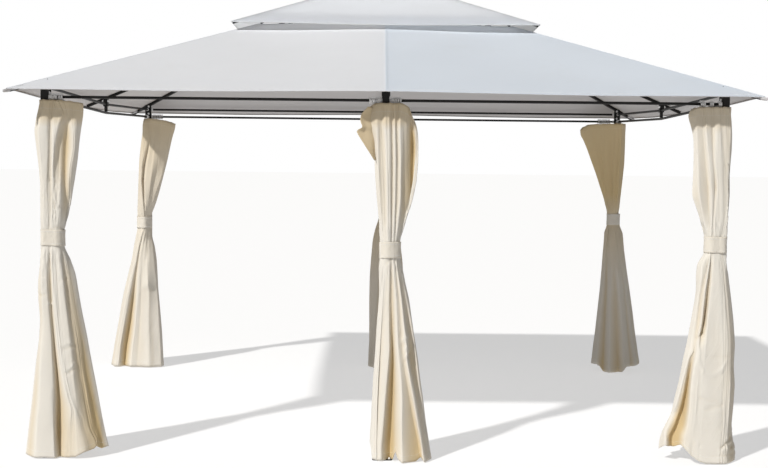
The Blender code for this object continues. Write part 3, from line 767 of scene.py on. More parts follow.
def closeRidge(piece):
    bm = bmesh.new()
    bm.from_mesh(piece.data)
    bmesh.ops.remove_doubles(bm, verts=bm.verts, dist=0.00005)
    ridgeVerts = [vert for vert in bm.verts if vert.is_boundary and vert.co.z > plan["ridgeZ"] - 0.02]
    bmesh.ops.remove_doubles(bm, verts=ridgeVerts, dist=0.004)
    bm.to_mesh(piece.data)
    bm.free()


mainSheet = makeRoof("roof_main", mainRoof, roofFolds(), roofFabric)
thicken(mainSheet, mainRoof["thickness"])
print("main roof made, cloth area", round(meshArea(mainSheet) / 2, 2))
topSheet = makeRoof("roof_top", topRoof, topFolds(), topFabric)
closeRidge(topSheet)
thicken(topSheet, topRoof["thickness"])
print("top roof made, cloth area", round(meshArea(topSheet) / 2, 2))

# Cloth pockets that hold the ends of the hip ribs under the corners of the eave; each section is (share of the
# length, width factor, depth factor)
pockets = {
    "length": 0.105, "width": 0.034, "tipWidth": 0.015, "depth": 0.020, "gap": 0.0045, "tip": 0.017, "around": 14,
    "sections": ((0.0, 0.55, 0.5), (0.05, 0.85, 0.8), (0.25, 1.0, 1.0), (0.75, 1.05, 1.0), (0.96, 1.12, 1.02),
                 (1.0, 1.16, 1.0)),
}


def makePockets(spec):
    bm = bmesh.new()
    for eave, vent in roofFolds()[::2]:
        flat = Vector((eave.x - vent.x, eave.y - vent.y, 0))
        outward = flat.normalized()
        side = Vector((-outward.y, outward.x, 0))
        fall = (vent.z - eave.z) / flat.length
        rings = []
        for share, wide, deep in spec["sections"]:
            inward = -spec["tip"] + spec["length"] * share
            centre = eave - outward * inward + Vector((0, 0, fall * inward - spec["gap"]))
            halfWidth = (spec["tipWidth"] + (spec["width"] - spec["tipWidth"]) * share) / 2 * wide
            ring = []
            for i in range(spec["around"]):
                angle = math.pi * i / (spec["around"] - 1)
                drop = spec["depth"] * deep * max(0.0, math.sin(angle)) ** 0.6
                ring.append(centre + side * (halfWidth * math.cos(angle)) - Vector((0, 0, drop)))
            rings.append(ring)
        addTube(bm, rings)
    piece = bodyPiece("roof_pockets", bm, roofFabric)
    mesh = piece.data
    layer = mesh.uv_layers.new(name="cloth")
    for loop in mesh.loops:
        place = mesh.vertices[loop.vertex_index].co
        layer.data[loop.index].uv = (place.x + place.z, place.y - place.z)
    mesh.shade_smooth()
    mesh.set_sharp_from_angle(angle=math.radians(50))
    return piece


pocketPiece = makePockets(pockets)

# Curtains: each one is a long sheet gathered round its post. Its section runs along fold lines on the side that
# faces the front and along even pleats behind. A fold line is (height, place right of the post, depth behind the
# front) in millimetres, and a depth of 0 is left out; creases are short dents (place, height, place, height, width,
# depth); crumples are patches (place, height, half width, half height, depth); hemLine is (place, height) along the
# lower edge; droop is (place, drop) at the top; pressed is (height below zero, place behind the post) of a face that
# is pressed flat; top, waist and hem are discs (x, y, radius) in metres that the curtain's hull wraps. A curtain may
# carry its own keys of painted shade (height below zero, share of the deep colour) for where the roof's shadow falls
# on it.
curtainCommon = {
    "topZ": 1.9485, "hemZ": 0.030, "lowest": 0.0045, "tieHeight": 0.092, "flarePower": 0.8, "thickness": 0.0012,
    "postClear": 0.0250, "edgeClear": 0.0004, "ridgeRadius": 0.0065, "backPleats": 13,
    # how deep the back pleats are below the tie (least, spread) and above it (least, belly, spread)
    "pleatsBelow": (0.004, 0.034), "pleatsAbove": (0.003, 0.015, 0.004),
    "hemTurn": 0.034, "headTurn": 0.042, "turnedCloth": 0.0007, "stitchLift": 0.0004,
    "droopFrom": 1.72, "hemFrom": 0.34,
    # fold lines that start above fullTop and end below fullFoot run the whole height; others fade over foldEnd
    "fullTop": 1940, "fullFoot": 150, "foldEnd": 45,
    # soft waves, fine lines and crumples by the tie; depth at which a fold has its full painted shade
    "waves": (0.0042, 0.0013, 0.0045), "fullFoldShadeAt": 0.048,
    # (height below zero in millimetres, share of the deep colour): painted shade where the roof's shadow falls on
    # the tops of the curtains
    "yellowingAndPaintedShade": ((-1950, 0.70), (-1850, 0.55), (-1800, 0.0)),
}
curtainShapes = {
    "front_left": {
        "top": ((-0.012, 0.000, 0.040), (0.180, 0.000, 0.032), (0.000, 0.150, 0.030)),
        "waist": ((0.002, 0.002, 0.0305), (0.066, 0.010, 0.041), (0.030, 0.030, 0.040)),
        "hem": ((-0.030, 0.010, 0.092), (0.222, 0.020, 0.108), (0.090, 0.150, 0.110)),
        "waistZ": 1.201, "seed": 3, "rowStep": 0.0115,
        "droop": ((-60, 0), (60, 2), (150, 8), (230, 22)),
        "hemLine": ((-130, 5), (34, 9), (67, 5), (77, 5), (116, 5), (167, 10), (220, 37), (267, 51), (275, 62),
            (297, 43), (324, 48)),
        "creases": ((-46, 886, -1, 887, 6, 7), (85, 974, 117, 980, 5, 5), (93, 617, 142, 639, 5, -4),
            (104, 595, 153, 618, 5, 5), (120, 481, 164, 520, 5, -5), (115, 460, 164, 493, 5, 6),
            (41, 1252, 91, 1263, 5, 6), (-12, 1433, 16, 1412, 5, 4), (21, 844, 43, 844, 4, -5)),
        "crumples": ((-8, 1473, 22, 202, 4), (63, 1395, 29, 130, 9), (25, 1107, 70, 36, 5), (6, 253, 39, 149, 4),
            (-13, 988, 28, 79, 4)),
        "folds": {
            "leftEdge": ((1950, -24), (1837, -52), (1777, -62), (1594, -40), (1432, -28), (1296, -30), (1231, -27),
                (1160, -28), (1105, -31), (1051, -37), (968, -50), (886, -53), (749, -43), (638, -49), (528, -64),
                (0, -127)),
            "panelLeft": ((1948, 2), (1777, -27), (1595, -14), (1433, -6), (1162, -7), (973, -16), (756, -10),
                (430, -22), (0, -48)),
            "panelRight": ((1948, 28, 1), (1777, 20), (1595, 17), (1460, 9), (1325, 12, 1), (1163, 13),
                (973, 15, 2), (865, 23, 3), (648, 39, 1), (431, 50), (105, 56), (0, 61)),
            "beigeGroove": ((1949, 42, 8), (1810, 36, 12), (1676, 33, 13), (1514, 25, 13), (1379, 24, 12),
                (1271, 25, 8), (1233, 26, 2), (1152, 26, 3), (1070, 27, 14), (944, 28, 24), (808, 36, 24),
                (644, 48, 30), (478, 60, 40), (313, 67, 46), (147, 66, 50), (0, 77, 40)),
            "grooveRight": ((1949, 54, 4), (1676, 44, 5), (1514, 39, 8), (1379, 40, 6), (1233, 38), (1152, 37),
                (947, 45), (812, 54), (541, 84), (432, 103), (351, 124), (268, 147, 6), (155, 127, 20),
                (0, 116, 20)),
            "swagLeft": ((1890, 79, 4), (1847, 73, -2), (1794, 64, -6), (1703, 57, -6), (1595, 50, -2),
                (1461, 48, 2)),
            "swagRight": ((1891, 106, 4), (1864, 105, -2), (1826, 88, -2), (1773, 73, 2), (1703, 63, 8),
                (1595, 56, 12), (1461, 57, 8)),
            "centrePanel": ((1949, 76), (1875, 111, 6), (1827, 97, 16), (1730, 78, 20), (1622, 74, 20),
                (1525, 74, 10), (1461, 70, 2), (1353, 66), (1234, 65), (1152, 62), (812, 84), (649, 101),
                (433, 131), (351, 148), (297, 165), (258, 177, 4), (158, 184, 12), (0, 195, 10)),
            "centreRight": ((1949, 97), (1875, 121, 8), (1827, 111, 20), (1730, 97, 24), (1623, 93, 24),
                (1526, 91, 14), (1461, 92, 6), (1326, 87, 3), (1233, 80), (1152, 77), (948, 107, 1), (650, 137, 1),
                (541, 151, 2), (433, 161, 3), (296, 179, 6), (257, 187, 10)),
            "ochreGroove": ((1949, 118, 1), (1875, 131, 10), (1828, 123, 26), (1731, 113, 40), (1569, 108, 38),
                (1433, 106, 30), (1325, 100, 18), (1243, 89, 6), (1151, 88, 4), (1070, 98, 14), (945, 114, 22),
                (809, 131, 24), (646, 157, 24), (483, 178, 26), (153, 231, 34), (57, 267, 36), (0, 272, 36)),
            "foldLeft": ((1950, 144, 2), (1875, 151, 4), (1838, 148, 6), (1731, 154, 8), (1677, 151, 8),
                (1596, 135, 10), (1515, 128, 14), (1450, 124, 22), (1379, 117, 30), (1324, 110, 26), (1243, 92, 6)),
            "foldRidge": ((1950, 166), (1875, 168), (1838, 165), (1731, 167), (1677, 165), (1596, 148, 2),
                (1515, 138, 8), (1450, 132, 18)),
            "rightBelly": ((1950, 187, 1), (1876, 188, 2), (1838, 184, 4), (1731, 178, 10), (1623, 165, 14),
                (1406, 132, 22), (1325, 116, 18), (1243, 95, 6), (1151, 93, 4), (1069, 119, 14), (944, 146, 20),
                (643, 193, 34), (477, 216, 42), (310, 244, 48), (143, 276, 50), (0, 301, 50)),
            "rightEdge": ((1952, 207), (1893, 209), (1732, 188), (1624, 177), (1515, 160), (1325, 121), (1254, 97),
                (1161, 94), (1123, 107), (1069, 131), (998, 155), (806, 187), (641, 220), (142, 307), (53, 321),
                (0, 331)),
        },
    },
    "front_middle": {
        "top": ((0.000, 0.000, 0.050), (0.152, 0.000, 0.034), (-0.122, 0.000, 0.034)),
        "waist": ((0.000, 0.000, 0.034), (0.044, 0.004, 0.044), (0.020, -0.004, 0.046)),
        "hem": ((0.030, 0.010, 0.100), (0.145, -0.020, 0.112), (0.070, 0.040, 0.115)),
        "waistZ": 1.152, "seed": 11, "rowStep": 0.0115,
        "droop": ((-140, 60), (-115, 40), (-95, 24), (-70, 8), (-50, 0), (92, 0), (120, 18), (150, 44), (180, 58)),
        "hemLine": ((-74, 108), (-62, 56), (-56, 5), (-6, 5), (38, 5), (56, 5), (72, 64), (83, 18), (107, 5),
            (151, 5), (195, 5), (208, 27), (227, 5), (269, 7)),
        "creases": ((94, 666, 138, 691, 5, -5), (89, 628, 122, 649, 5, 4), (117, 558, 150, 599, 5, 4),
            (9, 1079, 36, 1107, 5, 6)),
        "crumples": ((117, 632, 39, 81, 5), (34, 1083, 52, 26, 3)),
        "folds": {
            "leftEdge": ((1959, -81), (1921, -113), (1883, -134), (1845, -128), (1824, -117), (1797, -96),
                (1749, -68), (1641, -60), (1532, -55), (1424, -46), (1342, -37), (1260, -25), (1200, -19),
                (1113, -15), (434, -55), (211, -64), (99, -71), (0, -72)),
            "leftPeach": ((1957, -48, 4), (1828, -47, 2), (1641, -40, 2), (1425, -27, 2), (1263, -14, 2)),
            "leftLine": ((1957, -35, 8), (1829, -34, 13), (1641, -29, 13), (1425, -16, 12), (1236, -6, 6)),
            "greenLine": ((1957, -16, 8), (1829, -18, 12), (1533, 0, 14), (1317, 7, 10), (1209, 11, 3)),
            "postPanel": ((1957, -6), (1829, -4), (1534, 10), (1210, 19), (1100, -2), (609, -18), (335, -29),
                (117, -30), (0, -28)),
            "leftShallow": ((992, 10, 2), (663, -11, 9), (442, -28, 12), (220, -42, 13), (110, -46, 12),
                (0, -47, 12)),
            "postPanelRight": ((1957, 21), (1829, 25, 1), (1534, 30, 1), (1210, 32, 1), (1091, 28, 1), (884, 28, 2),
                (613, 33, 4), (229, 4, 4), (92, -8, 4), (0, -7, 4)),
            "mainGroove": ((1958, 35, 12), (1830, 36, 20), (1642, 37, 22), (1425, 38, 18), (1236, 38, 7),
                (1117, 39, 4), (1019, 41, 16), (717, 49, 34), (552, 53, 46), (330, 50, 60), (108, 44, 68),
                (0, 43, 70)),
            "firstRidge": ((1958, 48, 1), (1642, 54), (1426, 54), (1220, 48), (1112, 47), (993, 53), (886, 63),
                (562, 83), (455, 94), (347, 102), (131, 103), (0, 107)),
            "secondGroove": ((1958, 60, 8), (1830, 62, 15), (1642, 68, 17), (1426, 68, 14), (1220, 56, 4),
                (1111, 57, 3), (992, 70, 12), (884, 83, 14), (668, 99, 16), (561, 112, 16), (452, 128, 20),
                (342, 149, 26), (231, 170, 34), (119, 194, 42), (0, 212, 48)),
            "secondRidge": ((1958, 75, 1), (1830, 77), (1642, 83), (1426, 84), (1220, 64), (1111, 63), (886, 95, 1),
                (778, 107, 1), (671, 121, -2), (607, 127, -4), (563, 128, -2), (455, 148, 1), (127, 206, 4),
                (0, 227, 5)),
            "shadeStart": ((1959, 91, 6), (1830, 96, 10), (1642, 95, 16), (1480, 96, 26), (1344, 91, 22),
                (1220, 71, 6), (1111, 72, 4), (992, 90, 12), (666, 141, 18), (557, 148, 26), (450, 165, 18),
                (230, 209, 14), (120, 227, 12), (0, 245, 12)),
            "shadeBelly": ((1960, 113, 12), (1831, 126, 24), (1643, 134, 40), (1480, 133, 38), (1344, 113, 24),
                (1219, 76, 8), (1110, 78, 6), (990, 101, 16), (663, 158, 26), (445, 185, 26), (224, 224, 20),
                (0, 257, 16)),
            "outerGroove": ((1912, 136, 20), (1832, 145, 44), (1697, 149, 66), (1534, 150, 60), (1469, 147, 44),
                (1398, 134, 30)),
            "outerRidge": ((1959, 118, 4), (1912, 141, 8), (1832, 161, 18), (1697, 165, 30), (1534, 160, 34),
                (1469, 154, 34), (1398, 140, 24)),
            "rightEdge": ((1961, 125), (1923, 141), (1897, 161), (1859, 171), (1805, 178), (1724, 183), (1616, 181),
                (1535, 174), (1426, 151), (1262, 101), (1201, 85), (1114, 86), (988, 112), (878, 139), (547, 193),
                (436, 206), (325, 223), (214, 236), (0, 272)),
        },
    },
    "front_right": {
        "top": ((-0.006, 0.000, 0.040), (0.165, 0.000, 0.032), (0.000, 0.150, 0.030)),
        "waist": ((0.002, 0.002, 0.0305), (0.062, 0.008, 0.040), (0.030, 0.030, 0.038)),
        "hem": ((-0.012, 0.010, 0.098), (0.184, 0.020, 0.106), (0.070, 0.150, 0.110)),
        "waistZ": 1.200, "seed": 23, "rowStep": 0.0115,
        "yellowingAndPaintedShade": ((-1950, 0.50), (-1850, 0.38), (-1800, 0.0)),
        "droop": ((-230, 22), (-190, 14), (-150, 3), (40, 0)),
        "hemLine": ((-310, 58), (-288, 94), (-233, 78), (-207, 104), (-193, 89), (-160, 52), (-117, 21), (-73, 5),
            (-18, 5), (101, 5)),
        "creases": ((-127, 692, -102, 720, 6, 8), (-40, 587, 48, 588, 5, 4), (-121, 573, -99, 508, 8, -3),
            (-99, 508, -49, 486, 8, -3), (-49, 486, -1, 509, 8, -3), (-1, 509, 31, 569, 8, -3),
            (-113, 366, -25, 345, 8, 4), (-84, 295, 8, 329, 8, 4), (12, 94, 69, 142, 6, 7), (-63, 43, 47, 54, 5, 4),
            (-112, 1311, -103, 1284, 5, 9), (-44, 1226, -6, 1248, 5, 5), (-99, 1267, -84, 1241, 5, 4)),
        "crumples": ((87, 96, 41, 94, 9), (-51, 1275, 57, 48, 4), (-43, 300, 71, 109, 4), (-32, 86, 93, 50, 5)),
        "folds": {
            "leftEdge": ((1951, -186), (1918, -207), (1832, -183), (1767, -172), (1670, -168), (1577, -168),
                (1496, -171), (1458, -170), (1333, -120), (1289, -105), (1246, -93), (1152, -86), (1125, -106),
                (1092, -125), (1031, -132), (949, -129), (893, -134), (783, -149), (672, -167), (561, -190),
                (449, -206), (338, -230), (254, -242), (170, -274), (57, -309)),
            "leftPanel": ((1949, -169), (1497, -139), (1416, -126), (1291, -95), (1247, -86), (1153, -82),
                (1095, -105), (952, -118), (786, -138), (622, -163), (455, -195), (285, -232), (116, -286)),
            "firstLine": ((1950, -135, 6), (1832, -125, 10), (1497, -84, 15), (1362, -78, 10), (1247, -75, 4),
                (1154, -74, 2), (1095, -81, 10), (952, -102, 16), (842, -115, 18), (732, -127, 16), (624, -146, 8)),
            "tanGroove": ((624, -140, 12), (577, -149, 28), (508, -155, 46), (394, -164, 66), (280, -181, 78),
                (168, -205, 84), (79, -237, 80)),
            "firstRidge": ((1950, -113), (1832, -109), (1660, -92), (1498, -73), (1362, -68), (1155, -67),
                (954, -93), (791, -106), (517, -149), (408, -161), (299, -165), (189, -177, 4), (100, -193, 8)),
            "peachGroove": ((1951, -78, 10), (1833, -71, 16), (1660, -64, 8), (1574, -51, 12), (1508, -43, 18),
                (1444, -49, 8), (1248, -55, 3), (1155, -60, 3), (1095, -62, 14), (979, -69, 24), (868, -75, 38),
                (785, -84, 46), (716, -101, 30), (654, -116, 4)),
            "secondRidge": ((1950, -65), (1660, -53), (1498, -39), (1248, -39), (791, -79), (519, -93),
                (103, -108)),
            "rightPanelEdge": ((1950, -44, 1), (1833, -34, 2), (1498, -15, 2), (1363, -10, 2), (1248, -17),
                (1156, -20), (1096, -14), (901, -1), (683, 8), (464, 7, 4), (246, 10, 3), (104, 1, 2)),
            "greyGroove": ((1951, -24, 5), (1833, -19, 10), (1715, -9, 18), (1606, 6, 36), (1443, 19, 42),
                (1334, 9, 26), (1248, -7, 5)),
            "greyRidge": ((1951, -3, 4), (1715, 19, 20), (1596, 28, 26), (1525, 29, 32), (1443, 29, 34),
                (1334, 15, 22)),
            "rightBelly": ((1156, -3, 3), (1095, 18, 6), (899, 39, 8), (681, 58, 10), (463, 59, 6), (244, 49, 4),
                (102, 43, 6)),
            "rightEdge": ((1953, 28), (1878, 39), (1797, 46), (1715, 46), (1580, 36), (1471, 40), (1389, 36),
                (1307, 27), (1247, 18), (1154, 16), (1115, 27), (1033, 45), (785, 82), (647, 97), (536, 95),
                (425, 106), (313, 102), (201, 92), (139, 96), (61, 118), (0, 114)),
        },
    },
    "back_right": {
        "top": ((-0.030, 0.000, 0.050), (0.250, 0.000, 0.042), (0.000, 0.150, 0.040)),
        "waist": ((-0.010, 0.002, 0.038), (0.036, 0.008, 0.038), (0.010, 0.022, 0.036)),
        "hem": ((-0.115, 0.010, 0.108), (0.070, 0.020, 0.108), (0.000, 0.130, 0.110)),
        "waistZ": 1.195, "seed": 31, "rowStep": 0.020,
        "yellowingAndPaintedShade": ((-1950, 0.9), (-1400, 1.0), (-1200, 0.6), (-1000, 0.45), (-700, 0.1), (0, 0.0)),
        "droop": ((-300, 60), (-262, 28), (-220, 8), (60, 2)),
        "hemLine": ((-168, 49), (-126, 57), (-92, 8), (38, 18), (73, 57), (139, 47), (211, 50)),
        "creases": (), "crumples": ((0, 1150, 90, 130, 2.0), (-40, 1250, 60, 90, 2.0)),
        "folds": {
            "leftEdge": ((1981, -293), (1887, -286), (1778, -248), (1543, -156), (1347, -88), (1252, -64),
                (1149, -62), (1101, -80), (791, -98), (311, -138), (151, -157), (22, -166)),
            "leftPanel": ((1956, -204, 1), (1778, -203, 1), (1348, -80), (1254, -58), (1151, -55), (954, -77),
                (39, -139)),
            "ochreLine": ((1955, -155, 4), (1778, -145, 14), (1622, -117, 18), (1427, -83, 12), (1254, -49, 2),
                (1151, -47, 2), (1073, -57, 12), (915, -64, 18), (327, -81, 36), (46, -94, 44)),
            "centreLeft": ((1955, -121), (1778, -113), (1545, -85), (1254, -41), (1152, -38), (958, -45),
                (62, -62)),
            "middleLine": ((1955, -75, 6), (1778, -69, 12), (1584, -53, 14), (1389, -40, 8), (1255, -31, 2),
                (1152, -28, 2), (1036, -27, 10), (726, -13, 16), (416, -1, 24), (61, 10, 34)),
            "centreRight": ((1954, -53), (1778, -47), (1153, -18), (960, -6), (651, 19), (342, 40), (65, 52)),
            "rightLine": ((1954, -27, 6), (1778, -21, 12), (1546, -16, 12), (1350, -14, 6), (1255, -9, 2),
                (1153, -5, 2), (1036, 11, 8), (801, 46, 14), (488, 84, 20), (48, 126, 28)),
            "rightPanel": ((1954, -3), (1778, 3), (1351, -1), (1153, 9), (957, 46), (644, 83), (45, 169)),
            "rightEdge": ((1961, 69), (1781, 69), (1624, 65), (1348, 37), (1253, 29), (1150, 37), (1087, 64),
                (952, 81), (793, 104), (474, 158), (274, 184), (114, 207), (25, 222)),
        },
    },
    "back_middle": {
        "top": ((0.000, 0.000, 0.050), (0.120, 0.000, 0.033), (-0.120, 0.000, 0.033)),
        "waist": ((0.000, 0.000, 0.045), (0.012, 0.005, 0.045), (-0.008, -0.004, 0.045)),
        "hem": ((-0.055, 0.010, 0.110), (0.040, -0.020, 0.110), (-0.010, 0.040, 0.115)),
        "waistZ": 1.360, "seed": 43, "rowStep": 0.020,
        "yellowingAndPaintedShade": ((-1950, 0.9), (-1400, 0.9), (-1100, 0.6), (-700, 0.25), (0, 0.15)),
        "droop": ((-120, 12), (-50, 0), (50, 0), (120, 12)),
        "hemLine": ((-99, 10), (75, 20), (212, 5)),
        "creases": (), "crumples": ((0, 1300, 90, 120, 2.0),),
        "folds": {
            "leftEdge": ((1956, -70), (1838, -93), (1643, -52), (1407, -18), (1273, -4), (1178, -26), (1091, -54),
                (1012, -72), (853, -88), (733, -95), (534, -96), (214, -93), (134, -98), (5, -100)),
            "leftPanel": ((1955, -39, 1), (1643, -20, 1), (1275, 15), (1094, -22, 1), (859, -47, 1), (24, -55, 2)),
            "leftGroove": ((1955, -8, 6), (1643, 3, 14), (1276, 31, 2), (1181, 16, 8), (1016, -1, 16),
                (545, -9, 30), (24, -12, 40)),
            "leftRidge": ((1955, 23), (1643, 27), (1276, 43), (1018, 33), (35, 32)),
            "middleGroove": ((1955, 51, 8), (1644, 53, 16), (1276, 56, 2), (1017, 63, 16), (545, 74, 34),
                (26, 83, 46)),
            "rightRidge": ((1956, 78), (1644, 77), (1276, 70), (1017, 88), (31, 130)),
            "rightGroove": ((1957, 117, 6), (1644, 105, 12), (1276, 82, 2), (1016, 112, 14), (540, 149, 26),
                (15, 171, 34)),
            "rightEdge": ((1958, 165), (1841, 190), (1645, 153), (1409, 124), (1274, 105), (1093, 136), (855, 167),
                (537, 187), (8, 212)),
        },
    },
    "back_left": {
        "top": ((-0.012, 0.000, 0.042), (0.178, 0.000, 0.040), (0.000, 0.150, 0.036)),
        "waist": ((-0.055, 0.004, 0.042), (0.004, 0.004, 0.033), (-0.025, 0.022, 0.040)),
        "hem": ((-0.164, 0.010, 0.108), (0.012, 0.020, 0.108), (-0.080, 0.130, 0.110)),
        "waistZ": 1.136, "seed": 57, "rowStep": 0.020,
        "pressed": ((-1950, -82), (-1101, -82), (-1100, -75), (0, -137)),
        "yellowingAndPaintedShade": ((-1950, 0.70), (-1500, 0.35), (-1150, 0.25), (-700, 0.10), (0, 0.05)),
        "droop": ((-60, 10), (20, 0), (100, 8), (150, 16), (228, 42)),
        "hemLine": ((-303, 5), (-176, 5), (-19, 5), (126, 5)),
        "creases": (), "crumples": ((0, 1030, 90, 110, 2.5), (-20, 1250, 60, 90, 2.0)),
        "folds": {
            "leftEdge": ((1959, -28), (1905, -46), (1842, -44), (1623, -72), (1466, -80), (1309, -85), (1080, -87),
                (1024, -97), (945, -116), (834, -136), (595, -192), (475, -216), (315, -243), (155, -275),
                (0, -300)),
            "leftPanel": ((1957, -16, 63), (1740, -24, 70), (1468, -47, 25), (1186, -47), (1084, -47), (951, -77),
                (488, -167), (171, -231), (0, -249)),
            "sLeft": ((1957, 8, 103), (1779, 15, 80), (1701, -1, 73), (1585, -28, 54), (1468, -38, 34),
                (1351, -32, 19), (1218, -20), (1084, -26), (952, -59, 8), (842, -79, 11), (724, -104, 16),
                (528, -139, 26), (331, -174, 25), (174, -200, 30), (0, -215, 40)),
            "sGroove": ((1957, 23, 108), (1779, 29, 79), (1702, 10, 88), (1585, -18, 83), (1467, -32, 64),
                (1350, -25, 39), (1218, -14, 6), (1084, -18, 3), (951, -52, 24), (840, -70, 37), (722, -90, 57),
                (523, -116, 92), (324, -142, 115), (165, -165, 131), (0, -181, 141)),
            "sRight": ((1957, 43, 89), (1779, 45, 54), (1702, 28, 55), (1585, 6, 51), (1468, -10, 38),
                (1351, -7, 17), (1218, -5), (1084, -8), (952, -35, 16), (842, -53, 28), (725, -65, 43),
                (529, -71, 67), (333, -84, 85), (176, -102, 99), (0, -115, 110)),
            "lobe": ((1957, 78, 58), (1779, 70, 33), (1585, 49, 13), (1469, 33, 5), (1351, 20, 1), (1217, 3),
                (1084, 1), (952, -12, 15), (842, -23, 35), (725, -35, 52), (529, -39, 72), (176, -55, 107),
                (0, -62, 116)),
            "crease": ((1957, 119, 10), (1780, 114, -8), (1586, 89, -4), (1508, 73, 4), (1390, 37, 8),
                (1272, 12, 6), (1217, 8, 3), (1083, 8, 2), (998, 5, 8), (882, 13, 8), (781, 10, 7), (650, 18, -4)),
            "rightBelly": ((1959, 187, -22), (1781, 178, -34), (1586, 141, -32), (1469, 108, -24), (1351, 64, -12),
                (1217, 19), (1083, 16), (950, 46, -16), (778, 66, -32), (488, 91, -48), (175, 112, -56),
                (0, 119, -58)),
            "rightEdge": ((1978, 217), (1908, 211), (1625, 151), (1389, 94), (1286, 62), (1207, 29), (1168, 20),
                (1081, 19), (1026, 27), (947, 51), (852, 65), (613, 80), (478, 93), (279, 109), (0, 124)),
        },
    },
}
postPlaces = {
    "front_left": (-1, -1), "front_middle": (0, -1), "front_right": (1, -1),
    "back_right": (1, 1), "back_middle": (0, 1), "back_left": (-1, 1),
}


def postMiddle(name):
    signX, signY = postPlaces[name]
    return plan["post"][0] * signX, plan["post"][1] * signY


def tieEdges(shape):
    half = curtainCommon["tieHeight"] / 2
    return shape["waistZ"] - half, shape["waistZ"] + half


# A curtain's outline on plan is a hull round three discs, mirrored so that it opens towards the gazebo's middle
def hullPoints(discs, count=240):
    points = []
    for i in range(count):
        angle = 2 * math.pi * i / count
        out = (math.cos(angle), math.sin(angle))
        x, y, radius = max(discs, key=lambda disc: disc[0] * out[0] + disc[1] * out[1] + disc[2])
        points.append(Vector((x + radius * out[0], y + radius * out[1])))
    return points


def curtainDiscs(name, shape, z):
    turnX, turnY = (-1 if sign > 0 else 1 for sign in postPlaces[name])
    low, high = tieEdges(shape)
    share, end = 0.0, shape["top"]
    if z >= high:
        share = (z - high) / (curtainCommon["topZ"] - high)
    elif z <= low:
        share, end = (low - z) / (low - curtainCommon["hemZ"]), shape["hem"]
    share = min(1.0, max(0.0, share)) ** curtainCommon["flarePower"]
    mixed = [tuple(a + (b - a) * share for a, b in zip(first, second))
             for first, second in zip(shape["waist"], end)]
    return [(x * turnX, y * turnY, radius) for x, y, radius in mixed]


# The hull stretched to the width that the edge lines give: its front line, left to right, and its back line
def hullLines(name, shape, z, leftX, rightX):
    points = hullPoints(curtainDiscs(name, shape, z))
    lowX, highX = min(p.x for p in points), max(p.x for p in points)
    points = [Vector((leftX + (p.x - lowX) / (highX - lowX) * (rightX - leftX), p.y)) for p in points]
    half = len(points) // 2
    return points[half:] + points[:1], points[:half + 1]


def heightOn(line, x):
    for first, second in zip(line, line[1:]):
        if x <= second.x:
            share = (x - first.x) / max(second.x - first.x, 1e-9)
            return first.y + (second.y - first.y) * max(0.0, share)
    return line[-1].y


def alongLine(line, share):
    # the point at a share of the line's length, and the direction that points out of it there
    lengths = [(b - a).length for a, b in zip(line, line[1:])]
    target = sum(lengths) * share
    for k, length in enumerate(lengths):
        if target <= length or k == len(lengths) - 1:
            part = max(0.0, min(1.0, target / max(length, 1e-9)))
            direction = (line[k + 1] - line[k]).normalized()
            return line[k].lerp(line[k + 1], part), Vector((direction.y, -direction.x))
        target -= length


def keyedFolds(shape, heights):
    # for each fold line: place, depth and presence at every height, eased along the cloth
    table = {}
    top, foot, ease = curtainCommon["fullTop"], curtainCommon["fullFoot"], curtainCommon["foldEnd"]
    for label, keys in shape["folds"].items():
        places, depths, presence = [], [], []
        keys = [(*key, 0)[:3] for key in keys]
        for z in heights:
            mm = z * 1000
            place, depth = betweenKeys(keys, mm)
            here = 1.0
            if mm > keys[0][0] and keys[0][0] < top:
                here = 1 - smooth((mm - keys[0][0]) / ease)
            if mm < keys[-1][0] and keys[-1][0] > foot:
                here = 1 - smooth((keys[-1][0] - mm) / ease)
            places.append(place)
            depths.append(depth)
            presence.append(here)
        for _ in range(3 if shape["rowStep"] < 0.015 else 1):
            for values in (places, depths):
                values[1:-1] = [(a + 2 * b + c) / 4 for a, b, c in zip(values, values[1:], values[2:])]
        table[label] = (places, depths, presence)
    return table


def roundedLine(corners, radius, bellies):
    # straight stretches between corners, each corner rounded off, always with the same number of points
    made, owners = [corners[0]], [0]
    before = corners[0]
    for k in range(1, len(corners)):
        here, isLast = corners[k], k == len(corners) - 1
        start = end = here
        if not isLast:
            back, ahead = corners[k - 1] - here, corners[k + 1] - here
            cut = min(radius, back.length * 0.45, ahead.length * 0.45)
            start, end = here + back.normalized() * cut, here + ahead.normalized() * cut
        stretch = start - before
        side = Vector((stretch.y, -stretch.x))
        for share in (0.25, 0.5, 0.75):
            made.append(before + stretch * share + side * (bellies[k] * 4 * share * (1 - share)))
            owners.append(k - 1 + share)
        for t in (1.0,) if isLast else (0.0, 0.25, 0.5, 0.75, 1.0):
            made.append(start * (1 - t) ** 2 + here * (2 * t * (1 - t)) + end * t * t)
            owners.append(k)
        before = end
    return made, owners


def clearOfPost(point):
    clear = curtainCommon["postClear"]
    widest = max(abs(point.x), abs(point.y))
    return point * (clear / max(widest, 1e-6)) if widest < clear else point


def drawPleats(shape, foldCount):
    # even pleats behind the post, each a little out of place, and the slack of every stretch between two folds
    draw, pleats = random.Random(shape["seed"]), curtainCommon["backPleats"]
    shares = [(i + 0.5 + draw.uniform(-0.2, 0.2)) / pleats for i in range(pleats)]
    depths = [(draw.uniform(0.0, 0.12) if i % 2 else draw.uniform(0.7, 1.15)) for i in range(pleats)]
    drifts = [draw.uniform(-0.12, 0.12) / pleats for i in range(pleats)]
    first = [i for i in range(pleats) if shares[i] >= 0.5]
    last = [i for i in range(pleats) if shares[i] < 0.58]
    bellies = [draw.uniform(-0.035, 0.07) for _ in range(len(first) + foldCount + len(last) + 4)]
    return {"shares": shares, "depths": depths, "drifts": drifts, "first": first, "last": last, "bellies": bellies}


